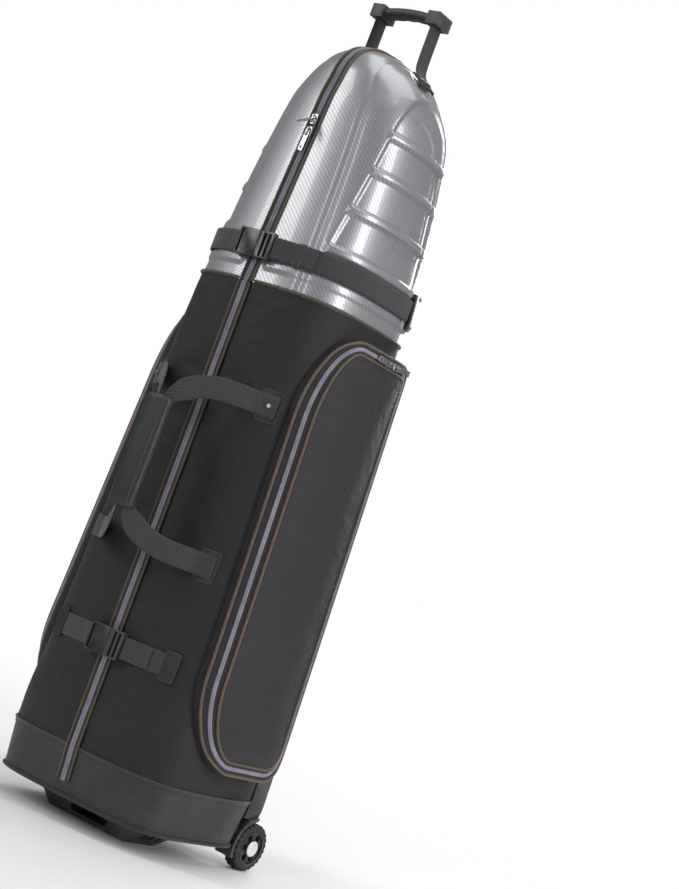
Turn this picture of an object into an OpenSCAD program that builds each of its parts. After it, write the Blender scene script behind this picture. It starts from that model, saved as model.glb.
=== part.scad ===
// Golf travel case: wheeled soft case with a two-part hard top, side pockets and carry handles.
// Millimetres, +Z up, floor at z = 0, front (main zip) toward -Y, wheels at the back (+Y).

/* [Case body] */
// Full width of the base, across X
base_w = 340; // [300:2:380]
// Full depth of the base, across Y
base_d = 272; // [240:2:320]
// Full width at the top of the base band
band_w = 358; // [310:2:390]
// Full depth at the top of the base band
band_d = 290; // [250:2:330]
// Height of the base band
band_h = 80; // [60:2:130]
// Height of the soft body from base bottom to hard top
body_h = 835; // [700:5:950]
// Thickness of the padded body walls
wall_t = 7; // [4:1:15]
// Gap between the floor and the base bottom
ground_gap = 34; // [20:1:50]

/* [Hard top] */
// Full width at the bottom edge of the hard top
top_w = 296; // [260:2:340]
// Full depth at the bottom edge of the hard top
top_d = 304; // [260:2:340]
// Height of the hard top
top_h = 435; // [350:5:520]
// Thickness of the moulded shell
shell_t = 3; // [2:0.5:5]

/* [Main zip] */
// Width of each half of the tooth strip
coil_w = 4.8; // [3:0.1:7]
// Width of the tape on each side
tape_w = 8; // [5:0.5:14]
// Length of a slider
slider_l = 18; // [12:1:25]
// Length of a pull tab
pull_l = 34; // [20:1:50]

/* [Side pockets] */
// How far a pocket stands off the body
pocket_out = 22; // [12:1:40]
// Height of the pocket bottom above the floor
pocket_z0 = 152; // [130:1:220]
// Height of the pocket top above the floor
pocket_z1 = 842; // [700:1:860]
// Front edge of the pocket, distance in front of the centre
pocket_front = 112; // [80:1:125]
// Back edge of the pocket, distance behind the centre
pocket_back = 124; // [80:1:125]
// Depth of the rounded upper front corner of a pocket
front_high_y = 80; // [40:1:90]
// Height of the rounded upper front corner of a pocket
front_high_z = 150; // [60:1:220]
// Depth of the rounded lower front corner of a pocket
front_low_y = 90; // [40:1:100]
// Height of the rounded lower front corner of a pocket
front_low_z = 130; // [60:1:200]
// Radius of the upper back corner of a pocket
back_high_r = 34; // [25:1:60]
// Radius of the lower back corner of a pocket
back_low_r = 58; // [40:1:80]
// Width of the zip band around the lid
zip_band = 20; // [12:1:30]

/* [Straps and handles] */
// Webbing width
web_w = 36; // [25:1:50]
// Webbing thickness
web_t = 2.4; // [1.5:0.1:4]
// Height of the upper strap above the hard top's bottom edge
upper_strap_h = 58; // [40:1:90]
// Height of the lower strap above the floor
lower_strap_z = 278; // [200:1:400]
// Height of the carry wrap's centre above the floor
carry_z = 566; // [450:1:700]
// Distance between upper and lower carry patches
carry_span = 257; // [180:1:320]
// Length of the carry wrap
wrap_l = 174; // [100:1:220]
// Distance of the carry wrap in front of the body
carry_out = 96; // [50:1:150]
// Length of the top grip
grip_l = 137; // [100:1:160]
// Height of the top grip above the hard top
grip_h = 78; // [50:1:100]

/* [Wheels and stand] */
// Wheel diameter
wheel_d = 78; // [60:1:100]
// Tyre width
wheel_w = 27; // [18:1:40]
// Distance of the wheel centre behind the case centre
wheel_y = 160; // [140:1:190]
// Distance of the wheel's middle from the case centre
wheel_x = 149; // [120:1:170]
// Axle diameter
axle_d = 8; // [6:0.5:12]
// Stand foot width at its top
stand_w = 244; // [160:2:280]
// Stand foot depth
stand_d = 74; // [40:1:120]

/* [Hidden] */
n_pts = 56;
gap = 0.3;
base_z = ground_gap;
band_z = base_z + band_h;
shell_z = base_z + body_h;
apex_z = shell_z + top_h;
zip_half = coil_w + tape_w;
panel_x = zip_half + gap;
panel_split = 100;
big = 2000;
fine = 48;

// Each row is height, half width, half depth and corner exponent.
body_rows = [
    [base_z, base_w / 2, base_d / 2, 4.2],
    [band_z, band_w / 2, band_d / 2, 4],
    [shell_z, top_w / 2, top_d / 2, 3.1]
];
front_slope = 0.0746;
function front_b(h) = top_d / 2 - front_slope * h;
shell_rows = [
    [0, top_w / 2, front_b(0), 3.1],
    [80, 0.980 * top_w / 2, front_b(80), 3.0],
    [160, 0.950 * top_w / 2, front_b(160), 2.85],
    [240, 0.908 * top_w / 2, front_b(240), 2.7],
    [315, 0.845 * top_w / 2, front_b(315), 2.55],
    [352, 0.765 * top_w / 2, 121.5, 2.5],
    [378, 0.660 * top_w / 2, 116, 2.45],
    [398, 0.550 * top_w / 2, 106, 2.4],
    [413, 0.425 * top_w / 2, 92, 2.3],
    [424, 0.290 * top_w / 2, 72, 2.2],
    [431, 0.155 * top_w / 2, 44, 2.1]
];

function spow(v, p) = sign(v) * pow(abs(v), p);
function ring(z, a, b, n) =
    [for (i = [0:n_pts - 1])
        let (t = 360 * (i + 0.5) / n_pts) [a * spow(cos(t), 2 / n), b * spow(sin(t), 2 / n), z]];
function flat(rows) = [for (r = rows) for (p = r) p];

// A closed solid through a stack of rounded rings, all of the same point count.
module loft(rings) {
    m = len(rings);
    sides = [for (k = [0:m - 2]) for (i = [0:n_pts - 1])
        let (j = (i + 1) % n_pts, a = k * n_pts, b = (k + 1) * n_pts)
        each [[a + i, b + j, a + j], [a + i, b + i, b + j]]];
    bottom = [[for (i = [0:n_pts - 1]) i]];
    top = [[for (i = [0:n_pts - 1]) (m - 1) * n_pts + n_pts - 1 - i]];
    polyhedron(points = flat(rings), faces = concat(sides, bottom, top), convexity = 8);
}

module body_form(d) {
    loft([for (r = body_rows) ring(r[0], r[1] + d, r[2] + d, r[3])]);
}

// The hard top's form, grown by d all round.
module shell_form(d, drop = 0) {
    extra = [[shell_rows[0][0] - drop, top_w / 2, front_b(0), 3.1]];
    rows = drop > 0 ? concat(extra, shell_rows) : shell_rows;
    last = [435 - 0.6, 8, 20, 2];
    loft([for (r = concat(rows, [last]))
        let (lift = r[0] > 300 ? d * (r[0] - 300) / 135 : 0)
        ring(shell_z + r[0] + lift, r[1] + d * (r[0] > 430 ? 0.6 : 1), r[2] + d * (r[0] > 430 ? 0.6 : 1), r[3])]);
}

module side(s) {
    mirror([s < 0 ? 1 : 0, 0, 0]) children();
}

module both() {
    for (s = [-1, 1]) side(s) children();
}

// A block given by its low and high corners.
module block(lo, hi) {
    translate(lo) cube(hi - lo);
}

// A profile drawn in depth and height, made x0 to x1 wide.
module across(x0, x1) {
    translate([x0, 0, 0]) rotate([90, 0, 90]) linear_extrude(x1 - x0) children();
}

// ---------------------------------------------------------------- base

module base_board() {
    color([0.09, 0.09, 0.10]) intersection() {
        body_form(-wall_t - 2 * gap);
        block([-big, -big, base_z + 1], [big, big, base_z + 10]);
    }
}

module base_band() {
    color([0.13, 0.12, 0.14]) difference() {
        intersection() {
            body_form(0);
            block([-big, -big, base_z], [big, big, band_z - gap]);
        }
        translate([0, 0, -1]) body_form(-wall_t);
        block([-zip_half - gap, -big, base_z + 20], [zip_half + gap, 0, big]);
    }
}

module bottom_piping() {
    color([0.04, 0.04, 0.04]) difference() {
        intersection() {
            body_form(3.4);
            block([-big, -big, base_z], [big, big, base_z + 7]);
        }
        body_form(gap);
        for (s = [-1, 1]) side(s)
            block([wheel_x - 26, 100, 0], [big, big, big]);
    }
}

stand_y0 = -stand_d / 2 - 18;
module stand_foot() {
    color([0.10, 0.10, 0.11]) difference() {
        translate([0, stand_y0 + stand_d, 0]) rotate([90, 0, 0]) linear_extrude(stand_d)
            polygon([[-83, 0], [83, 0], [stand_w / 2 - 6, base_z - 8], [stand_w / 2, base_z - 4],
                [stand_w / 2, base_z - gap], [-stand_w / 2, base_z - gap],
                [-stand_w / 2, base_z - 4], [-stand_w / 2 + 6, base_z - 8]]);
        translate([0, stand_y0 + stand_d + 1, 0]) rotate([90, 0, 0]) linear_extrude(stand_d + 2)
            polygon([[-37, 7], [37, 7], [40, 12], [40, 22], [36, 27], [-36, 27], [-40, 22], [-40, 12]]);
        for (s = [-1, 1]) side(s) {
            for (k = [0:2])
                block([70, stand_y0 + 14 + k * 18, 12], [stand_w / 2 + 1, stand_y0 + 22 + k * 18, 21]);
            translate([52, stand_y0 + 20, -1]) cylinder(d = 4.6, h = base_z + 4, $fn = fine);
            translate([52, stand_y0 + 54, -1]) cylinder(d = 4.6, h = base_z + 4, $fn = fine);
            translate([52, stand_y0 + 20, -1]) cylinder(d = 9, h = 5, $fn = fine);
            translate([52, stand_y0 + 54, -1]) cylinder(d = 9, h = 5, $fn = fine);
        }
    }
}

// Height and head seat of each screw in the rail
rail_screws = [[150, 156.1], [175, 154.7]];

module base_screws() {
    color([0.55, 0.55, 0.57]) for (s = [-1, 1]) side(s) {
        for (y = [20, 54]) translate([52, stand_y0 + y, 0]) {
            translate([0, 0, 1]) cylinder(d = 8.4, h = 2.6, $fn = fine);
            translate([0, 0, 3.6]) cylinder(d = 4, h = base_z - 3.6 + 0.6, $fn = fine);
        }
        for (p = rail_screws) translate([wheel_x - 4, 0, p[0]]) rotate([-90, 0, 0]) {
            translate([0, 0, p[1]]) cylinder(d = 8, h = 2.4, $fn = fine);
            translate([0, 0, 149]) cylinder(d = 3.9, h = p[1] - 149, $fn = fine);
        }
    }
}

// ---------------------------------------------------------------- wheels

wheel_r = wheel_d / 2;
wheel_in = wheel_x - wheel_w / 2;
wheel_out = wheel_x + wheel_w / 2;
cheek_t = 5;
cheek_gap = 2;
cheek_x0 = wheel_in - cheek_gap - cheek_t;
cheek_x1 = wheel_in - cheek_gap;
rail_top = 188;

// Moulded corner: an inner cheek that carries the axle, an arch over the wheel and a rail up the back.
module wheel_housing() {
    color([0.11, 0.11, 0.12]) difference() {
        union() {
            across(cheek_x0, cheek_x1) difference() {
                union() {
                    translate([wheel_y, wheel_r]) circle(r = 20, $fn = 72);
                    polygon([[120, base_z - 4], [150, 22], [wheel_y + 8, 24], [wheel_y + 12, 60],
                        [165, 104], [156, 110], [120, 110]]);
                }
                translate([wheel_y, wheel_r]) circle(d = axle_d + 0.1, $fn = fine);
            }
            across(cheek_x0, wheel_out - 1) difference() {
                intersection() {
                    translate([wheel_y, wheel_r]) circle(r = wheel_r + 11, $fn = 96);
                    polygon([[60, 20], [wheel_y - 12, 20], [wheel_y - 12, 60], [wheel_y + 6, 140], [60, 140]]);
                }
                translate([wheel_y, wheel_r]) circle(r = wheel_r + 5, $fn = 96);
            }
            across(wheel_x - 16, wheel_x + 8)
                polygon([[120, 84], [wheel_y - 6, 84], [wheel_y - 2, 100], [158, 112], [154, rail_top - 6],
                    [149, rail_top], [120, rail_top]]);
        }
        body_form(4.2);
        for (p = rail_screws)
            translate([wheel_x - 4, 170, p[0]]) rotate([90, 0, 0]) cylinder(d = 4.2, h = 60, $fn = fine);
    }
}

module axle() {
    color([0.70, 0.70, 0.72]) translate([cheek_x0 - 3, wheel_y, wheel_r]) rotate([0, 90, 0]) {
        cylinder(d = axle_d, h = wheel_out - 3 - cheek_x0 + 3, $fn = fine);
        cylinder(d = axle_d + 5, h = 3 - gap, $fn = fine);
    }
}

hub_d = 56;
module hub() {
    color([0.05, 0.05, 0.05]) translate([wheel_in, wheel_y, wheel_r]) rotate([0, 90, 0]) difference() {
        cylinder(d = hub_d, h = wheel_w, $fn = 96);
        translate([0, 0, -1]) cylinder(d = axle_d + 0.1, h = wheel_w + 2, $fn = fine);
        translate([0, 0, wheel_w - 5]) cylinder(d = 16, h = 6, $fn = fine);
        for (k = [0:5]) rotate(60 * k + 30) translate([18.5, 0, -1]) cylinder(d = 11, h = wheel_w + 2, $fn = fine);
        translate([0, 0, wheel_w - 3]) difference() {
            cylinder(d = 50, h = 4, $fn = 96);
            translate([0, 0, -1]) cylinder(d = 26, h = 6, $fn = 72);
        }
    }
}

module tyre() {
    color([0.03, 0.03, 0.03]) translate([wheel_in, wheel_y, wheel_r]) rotate([0, 90, 0]) difference() {
        rotate_extrude($fn = 96) polygon([[hub_d / 2, 0.5], [wheel_r - 3, 0.5], [wheel_r, 4],
            [wheel_r, wheel_w - 4], [wheel_r - 3, wheel_w - 0.5], [hub_d / 2, wheel_w - 0.5]]);
        for (k = [0:23]) rotate(15 * k) translate([wheel_r - 2, -1.5, wheel_w / 2 + (k % 2) * 7 - 7])
            cube([4, 3, 7]);
    }
}

module hub_cap() {
    color([0.85, 0.86, 0.88]) translate([wheel_out - 5, wheel_y, wheel_r]) rotate([0, 90, 0])
        rotate_extrude($fn = 72) polygon([[0, 3], [6, 3], [6, 0], [7.8, 0], [7.8, 5], [13, 5],
            [13, 6.4], [10, 8.4], [5, 9.4], [0, 9.6]]);
}

// ---------------------------------------------------------------- soft body

module body_wall() {
    difference() {
        intersection() {
            body_form(0);
            block([-big, -big, band_z + gap], [big, big, shell_z - gap]);
        }
        body_form_inner();
    }
}

module body_form_inner() {
    loft([for (r = [body_rows[0], body_rows[1], [shell_z + 1, top_w / 2, top_d / 2, 3.1]])
        ring(r[0], r[1] - wall_t, r[2] - wall_t, r[3])]);
}

module front_panel() {
    color([0.16, 0.16, 0.17]) intersection() {
        body_wall();
        block([panel_x, -big, 0], [panel_split, 0, big]);
    }
}

module side_panel() {
    color([0.16, 0.16, 0.17]) intersection() {
        body_wall();
        block([panel_split + gap, -big, 0], [big, big, big]);
    }
}

module back_panel() {
    color([0.14, 0.14, 0.15]) intersection() {
        body_wall();
        block([-panel_split, 0, 0], [panel_split, big, big]);
    }
}

body_front = [[-band_d / 2 + (band_d - base_d) / 2 * 0.72, base_z + 22], [-band_d / 2, band_z],
    [-top_d / 2, shell_z - gap]];
module body_zip(x0, x1, t_in, t_out) {
    across(x0, x1) polygon(concat(
        [for (p = body_front) [p[0] - t_out, p[1]]],
        [for (k = [2:-1:0]) [body_front[k][0] + t_in, body_front[k][1]]]));
}

module body_zip_tape() {
    color([0.10, 0.10, 0.10]) body_zip(coil_w, zip_half, 1.4, 1.2);
}

module body_zip_teeth() {
    color([0.55, 0.54, 0.60]) body_zip(gap / 2, coil_w - gap / 2, 1.0, 2.2);
}

// ---------------------------------------------------------------- hard top

module shell_half() {
    color([0.62, 0.64, 0.68]) intersection() {
        difference() {
            shell_form(0);
            shell_form(-shell_t, 20);
        }
        block([zip_half + gap, -big, 0], [big, big, big]);
    }
}

module shell_edge_piping() {
    color([0.30, 0.22, 0.16]) intersection() {
        difference() {
            shell_form(2.6);
            shell_form(gap);
        }
        block([zip_half + gap, -big, shell_z], [big, big, shell_z + 5]);
    }
}

// The cord along the bottom edge and the zip tape: the sewn trim of one half.
module shell_trim() {
    shell_edge_piping();
    top_zip_tape();
}

// Front, over the top and down the back, as depth and height.
arch_front = [for (r = shell_rows) [-r[2], shell_z + r[0]]];
arch_back = [for (k = [len(shell_rows) - 1:-1:5]) [shell_rows[k][2], shell_z + shell_rows[k][0]]];
arch_line = concat(arch_front, [[-20, apex_z - 0.4], [20, apex_z - 0.4]], arch_back);
function grown(line, d) =
    [for (i = [0:len(line) - 1])
        let (a = line[max(i - 1, 0)], b = line[min(i + 1, len(line) - 1)],
            u = (b - a) / norm(b - a)) [line[i][0] - u[1] * d, line[i][1] + u[0] * d]];
function turned(line) = [for (i = [len(line) - 1:-1:0]) line[i]];

module top_zip(x0, x1, t_in, t_out) {
    across(x0, x1) intersection() {
        polygon(concat(grown(arch_line, t_out), turned(grown(arch_line, -t_in))));
        translate([-big, shell_z]) square([2 * big, big]);
    }
}

module top_zip_tape() {
    color([0.10, 0.10, 0.10]) top_zip(coil_w, zip_half, 1.4, 1.2);
}

module top_zip_teeth() {
    color([0.55, 0.54, 0.60]) top_zip(gap / 2, coil_w - gap / 2, 1.0, 2.2);
}

hinge_top = shell_z + 345;
module back_hinge_strip() {
    color([0.13, 0.13, 0.14]) across(-zip_half + 0.6, zip_half - 0.6)
        polygon([[front_b(0) - 1.6, shell_z + gap], [front_b(315) - 1.6, shell_z + 315],
            [121, hinge_top], [123, hinge_top], [front_b(315) + 0.6, shell_z + 315],
            [front_b(0) + 0.6, shell_z + gap]]);
}

// ---------------------------------------------------------------- zip sliders and pulls

main_z = shell_z + 265;
zip_tilt = atan(front_slope);
upper_lift = 55;

// Places a child made for an upright front face onto the sloping front of the hard top.
module on_front(z) {
    translate([0, -front_b(z - shell_z) - 2.2 - gap, z]) rotate([-zip_tilt, 0, 0]) children();
}

// A slider body in front of the teeth, with a bridge that holds a pull.
module slider_body() {
    block([-5.5, -3.4, -slider_l / 2], [5.5, 0, slider_l / 2]);
    for (z = [-1, 1]) block([-1.6, -7.4, z * 5 - 1.3], [1.6, -3.2, z * 5 + 1.3]);
    block([-1.6, -9.0, -6.3], [1.6, -7.2, 6.3]);
}

// A pull hanging from its hinge pin, which lies along X at the origin.
module pull_tab() {
    difference() {
        block([-4.8, -0.8, -pull_l], [4.8, 0.8, 1.6]);
        block([-2.2, -2, -8.4], [2.2, 2, 0.7]);
        translate([0, 2, -pull_l + 6]) rotate([90, 0, 0]) cylinder(d = 4, h = 4, $fn = fine);
    }
}

pin_y = -5.3;
module main_slider(z) {
    color([0.75, 0.75, 0.77]) on_front(z) slider_body();
}

// A pull on the main zip, lifted off the hard top by an angle.
module main_pull(z, lift) {
    color([0.80, 0.80, 0.82]) on_front(z) translate([0, pin_y, 0]) rotate([-lift, 0, 0]) pull_tab();
}

// ---------------------------------------------------------------- straps

up_z = shell_z + upper_strap_h;
up_y = -front_b(upper_strap_h);
low_z = lower_strap_z;
low_b = band_d / 2 + (top_d - band_d) / 2 * (low_z - band_z) / (shell_z - band_z);
buckle_h = 44;
buckle_t = 13;
socket_x0 = -36;
socket_x1 = 4;
plug_x1 = 32;
prong_l = 26;

// Socket: a box open toward the plug, with side windows for the prongs and a bar for the webbing.
module buckle_socket() {
    color([0.04, 0.04, 0.04]) difference() {
        block([socket_x0, -buckle_t, -buckle_h / 2], [socket_x1, 0, buckle_h / 2]);
        block([-25, -buckle_t + 2.2, -buckle_h / 2 + 3.4], [socket_x1 + 1, -2.2, buckle_h / 2 - 3.4]);
        for (s = [-1, 1]) block([-21, -buckle_t + 2.2, s > 0 ? 14 : -buckle_h / 2 - 1],
            [-6, -2.2, s > 0 ? buckle_h / 2 + 1 : -14]);
        block([socket_x0 + 4, -buckle_t - 1, -web_w / 2 - 0.8], [-28.5, 1, web_w / 2 + 0.8]);
    }
}

// Plug: a body with two side prongs, a centre guide and two bars for the webbing.
module buckle_plug() {
    color([0.04, 0.04, 0.04]) difference() {
        union() {
            block([socket_x1 + gap, -buckle_t + 1, -buckle_h / 2], [plug_x1, -1, buckle_h / 2]);
            block([socket_x1 - prong_l + 4, -buckle_t + 4, -3], [socket_x1 + 1, -4, 3]);
            for (s = [-1, 1]) {
                block([-20, -buckle_t + 3.6, s > 0 ? 13 : -17], [socket_x1 + 1, -3.6, s > 0 ? 17 : -13]);
                block([-19, -buckle_t + 3.6, s > 0 ? 15 : -18.3], [-8, -3.6, s > 0 ? 18.3 : -15]);
            }
        }
        block([13, -buckle_t - 1, -web_w / 2 - 0.8], [18, 1, web_w / 2 + 0.8]);
        block([22, -buckle_t - 1, -web_w / 2 - 0.8], [27.5, 1, web_w / 2 + 0.8]);
    }
}

module place_upper_buckle() {
    translate([0, up_y - 5, up_z]) children();
}

module place_lower_buckle() {
    translate([0, -low_b - 5, low_z]) children();
}

module upper_strap() {
    color([0.20, 0.20, 0.21]) intersection() {
        difference() {
            shell_form(3.2 + web_t);
            shell_form(3.2);
        }
        union() {
            block([40, -big, up_z - web_w / 2], [big, 0, up_z + web_w / 2]);
            block([14, -1, up_z - web_w / 2], [big, big, up_z + web_w / 2]);
        }
    }
}

module upper_strap_keeper() {
    color([0.05, 0.05, 0.05]) intersection() {
        difference() {
            shell_form(3.2 + web_t + 2.2);
            shell_form(3.2 + web_t + gap);
        }
        block([72, -big, up_z - web_w / 2 - 1], [84, 0, up_z + web_w / 2 + 1]);
    }
}

module strap_guide_and_keeper() {
    strap_guide();
    upper_strap_keeper();
}

module strap_guide() {
    color([0.05, 0.05, 0.05]) intersection() {
        difference() {
            shell_form(9);
            shell_form(gap);
            difference() {
                shell_form(6.4);
                shell_form(2.4);
                block([-big, -big, up_z + web_w / 2 + 1], [big, big, big]);
                block([-big, -big, -big], [big, big, up_z - web_w / 2 - 1]);
            }
        }
        block([80, guide_y - 8, up_z - 30], [big, guide_y + 8, up_z + 30]);
    }
}

module lower_strap() {
    color([0.20, 0.20, 0.21]) intersection() {
        difference() {
            body_form(1.2 + web_t + 1.4);
            body_form(2.6);
        }
        block([40, -big, low_z - web_w / 2], [126, 0, low_z + web_w / 2]);
    }
}

module lower_strap_patch() {
    color([0.08, 0.08, 0.09]) intersection() {
        difference() {
            body_form(2.3);
            body_form(gap);
        }
        block([106, -big, low_z - web_w / 2 - 6], [130, 0, low_z + web_w / 2 + 6]);
    }
}

// ---------------------------------------------------------------- top handle

grip_z = apex_z + grip_h;
strap_x = 56;
rivet_z = apex_z - 26.1;
guide_x = 146.4;
guide_y = 92;
module top_grip() {
    color([0.10, 0.10, 0.11]) translate([0, 0, grip_z - 258]) rotate([90, 0, 0])
        translate([0, 0, -15]) linear_extrude(30) intersection() {
            difference() {
                circle(r = 270, $fn = 240);
                circle(r = 254, $fn = 240);
            }
            translate([-44, 200]) square([88, 100]);
        }
}

module grip_end_caps() {
    color([0.06, 0.06, 0.06]) for (s = [-1, 1]) side(s) difference() {
        block([44.4, -20, grip_z - 12], [grip_l / 2, 20, grip_z + 10]);
        block([strap_x - 3, -web_w / 2 + 1, grip_z - 20], [strap_x + 3, web_w / 2 - 1, grip_z + 4]);
    }
}

module top_strap() {
    color([0.26, 0.26, 0.27]) block([strap_x - web_t / 2, -15.5, apex_z - 16.5], [strap_x + web_t / 2, 15.5, grip_z + 2]);
}

module handle_patch() {
    color([0.05, 0.05, 0.05]) intersection() {
        difference() {
            shell_form(3);
            shell_form(gap);
        }
        block([strap_x + 4, -20, apex_z - 60], [strap_x + 28, 20, apex_z]);
    }
}

// Fasteners on one half of the hard top: three at the handle patch and two at the strap guide.
module top_rivets() {
    color([0.7, 0.7, 0.72]) {
        for (y = [-12, 0, 12]) translate([strap_x + 18.7, y, rivet_z]) rotate([0, 39, 0])
            cylinder(d = 5, h = 2, $fn = fine);
        for (k = [-1, 1]) translate([guide_x, guide_y, up_z + k * 24.5]) rotate([0, 90, 0])
            cylinder(d = 6.4, h = 2, $fn = fine);
    }
}

// ---------------------------------------------------------------- carry handle

carry_b = band_d / 2 + (top_d - band_d) / 2 * (carry_z - band_z) / (shell_z - band_z);
carry_y = -carry_b - carry_out;
module strap_patches() {
    color([0.09, 0.09, 0.10]) for (s = [-1, 1]) side(s) {
        lower_strap_patch();
        for (k = [-1, 1]) intersection() {
            difference() {
                body_form(3);
                body_form(gap);
            }
            block([102, -big, carry_z + k * carry_span / 2 - 25], [128, 0, carry_z + k * carry_span / 2 + 25]);
        }
    }
}

module body_rivets() {
    color([0.65, 0.65, 0.67]) for (s = [-1, 1]) for (k = [-1, 1])
        side(s) translate([115, -carry_b + 16.5, carry_z + k * carry_span / 2]) rotate([90, 0, 28])
            translate([0, 0, 6]) cylinder(d = 7, h = 2, $fn = fine);
}

// One webbing loop, flat in an upright plane that runs from the patches to the wrap.
loop_x = 97;
loop_y = -carry_b - 4.4;
loop_run = norm([loop_x, carry_y - loop_y]);
loop_turn = atan2(carry_y - loop_y, -loop_x);
half_span = carry_span / 2;
module loop_outline() {
    polygon([[0, half_span + web_w / 2], [0, half_span - web_w / 2], [46, half_span - web_w / 2 - 2],
        [74, half_span - web_w / 2 - 8], [96, half_span - web_w / 2 - 14], [loop_run - 19, half_span - 39],
        [loop_run - 19, -half_span + 39], [96, -half_span + web_w / 2 + 14], [74, -half_span + web_w / 2 + 8],
        [46, -half_span + web_w / 2 + 2], [0, -half_span + web_w / 2], [0, -half_span - web_w / 2],
        [56, -half_span - web_w / 2 + 2], [92, -half_span - 8], [116, -half_span + 12],
        [loop_run - 2, -half_span + 42], [loop_run - 2, half_span - 42], [116, half_span - 12],
        [92, half_span + 8], [56, half_span + web_w / 2 - 2]]);
}

module carry_loop() {
    color([0.18, 0.18, 0.19]) translate([loop_x, loop_y, carry_z]) rotate([0, 0, loop_turn])
        rotate([90, 0, 0]) translate([0, 0, -web_t / 2]) linear_extrude(web_t) loop_outline();
}

// The cuff that holds both loops together.
module wrap_section(w, d) {
    translate([-w / 2 + d / 2, -d / 2]) square([w - d, d]);
    for (s = [-1, 1]) translate([s * (w - d) / 2, 0]) circle(d = d, $fn = fine);
}

module carry_wrap() {
    color([0.14, 0.13, 0.14]) translate([0, carry_y + 7, carry_z - wrap_l / 2]) difference() {
        linear_extrude(wrap_l) wrap_section(44, 25);
        translate([0, 0, -1]) linear_extrude(wrap_l + 2) wrap_section(39, 20);
    }
}

// ---------------------------------------------------------------- side pockets

corner_steps = 10;
// A quarter of an oval round (y, z), starting at an angle.
function quarter_oval(y, z, r_y, r_z, from) =
    [for (k = [0:corner_steps]) let (a = from + 90 * k / corner_steps) [y + r_y * cos(a), z + r_z * sin(a)]];

// The outline of a pocket seen from the side, set back by d from its edge. Its front corners are long ovals.
module pocket_outline(d) {
    y0 = -pocket_front + d;
    y1 = pocket_back - d;
    z0 = pocket_z0 + d;
    z1 = pocket_z1 - d;
    polygon(concat(
        quarter_oval(y1 - back_high_r + d, z1 - back_high_r + d, back_high_r - d, back_high_r - d, 0),
        quarter_oval(y0 + front_high_y - d, z1 - front_high_z + d, front_high_y - d, front_high_z - d, 90),
        quarter_oval(y0 + front_low_y - d, z0 + front_low_z - d, front_low_y - d, front_low_z - d, 180),
        quarter_oval(y1 - back_low_r + d, z0 + back_low_r - d, back_low_r - d, back_low_r - d, 270)));
}

module pocket_tray() {
    color([0.15, 0.15, 0.16]) difference() {
        intersection() {
            body_form(pocket_out);
            across(60, 260) pocket_outline(0);
        }
        across(50, 270) pocket_outline(4);
        body_form(gap);
    }
}

module pocket_zip() {
    color([0.50, 0.49, 0.55]) difference() {
        intersection() {
            body_form(pocket_out - 0.5);
            across(60, 260) pocket_outline(4 + gap);
        }
        across(50, 270) pocket_outline(zip_band);
        body_form(pocket_out - 3.5);
    }
}

module pocket_lid() {
    color([0.17, 0.17, 0.19]) difference() {
        intersection() {
            body_form(pocket_out + 1);
            across(60, 260) pocket_outline(zip_band + gap);
        }
        body_form(pocket_out - 4);
    }
}

pocket_slide_y = 36;
pocket_x = band_w / 2 + (top_w - band_w) / 2 * (pocket_z1 - 12 - band_z) / (shell_z - band_z) + pocket_out;
pocket_tilt = atan((band_w - top_w) / 2 / (shell_z - band_z));
// Places a slider made for an upright front face on the side face near the pocket's top edge.
module on_side(y) {
    translate([pocket_x + 0.6, y, pocket_z1 - 12]) rotate([0, -pocket_tilt, 0]) rotate([0, 0, 90])
        rotate([0, 90, 0]) children();
}

module pocket_slider(y) {
    color([0.75, 0.75, 0.77]) on_side(y) slider_body();
}

module pocket_pull(y) {
    color([0.80, 0.80, 0.82]) on_side(y) translate([0, pin_y, 0]) pull_tab();
}

module pocket_pull_back(y) {
    color([0.80, 0.80, 0.82]) on_side(y) translate([0, pin_y, 0]) rotate([0, 180, 0]) pull_tab();
}

// ---------------------------------------------------------------- assembly

base_board();
base_band();
bottom_piping();
stand_foot();
base_screws();
both() wheel_housing();  // wheel_housings
both() axle();  // axles
side(-1) hub();  // hub_left
side(1) hub();  // hub_right
side(-1) tyre();  // tyre_left
side(1) tyre();  // tyre_right
side(-1) hub_cap();  // hub_cap_left
side(1) hub_cap();  // hub_cap_right
both() front_panel();  // front_panels
both() side_panel();  // side_panels
back_panel();
both() body_zip_tape();  // body_zip_tapes
both() body_zip_teeth();
side(-1) shell_half();  // shell_left
side(1) shell_half();  // shell_right
side(-1) shell_trim();  // shell_trim_left
side(1) shell_trim();  // shell_trim_right
side(-1) top_zip_teeth();  // top_zip_teeth_left
side(1) top_zip_teeth();  // top_zip_teeth_right
back_hinge_strip();
main_slider(main_z + 11);  // upper_slider
main_pull(main_z + 11, upper_lift);  // upper_pull
main_slider(main_z - 11);  // lower_slider
main_pull(main_z - 11, 0);  // lower_pull
side(-1) upper_strap();  // upper_strap_left
side(1) upper_strap();  // upper_strap_right
place_upper_buckle() buckle_socket();  // upper_buckle_socket
place_upper_buckle() buckle_plug();  // upper_buckle_plug
side(-1) strap_guide();  // strap_guide_left
strap_guide_and_keeper();  // strap_guide_right
side(-1) top_rivets();  // top_rivets_left
side(1) top_rivets();  // top_rivets_right
both() lower_strap();  // lower_straps
place_lower_buckle() buckle_socket();  // lower_buckle_socket
place_lower_buckle() buckle_plug();  // lower_buckle_plug
strap_patches();
body_rivets();
top_grip();
grip_end_caps();
side(-1) top_strap();  // top_strap_left
side(1) top_strap();  // top_strap_right
side(-1) handle_patch();  // handle_patch_left
side(1) handle_patch();  // handle_patch_right
both() carry_loop();  // carry_loops
carry_wrap();
both() pocket_tray();  // pocket_trays
both() pocket_zip();  // pocket_zips
side(-1) pocket_lid();  // pocket_lid_left
side(1) pocket_lid();  // pocket_lid_right
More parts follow.
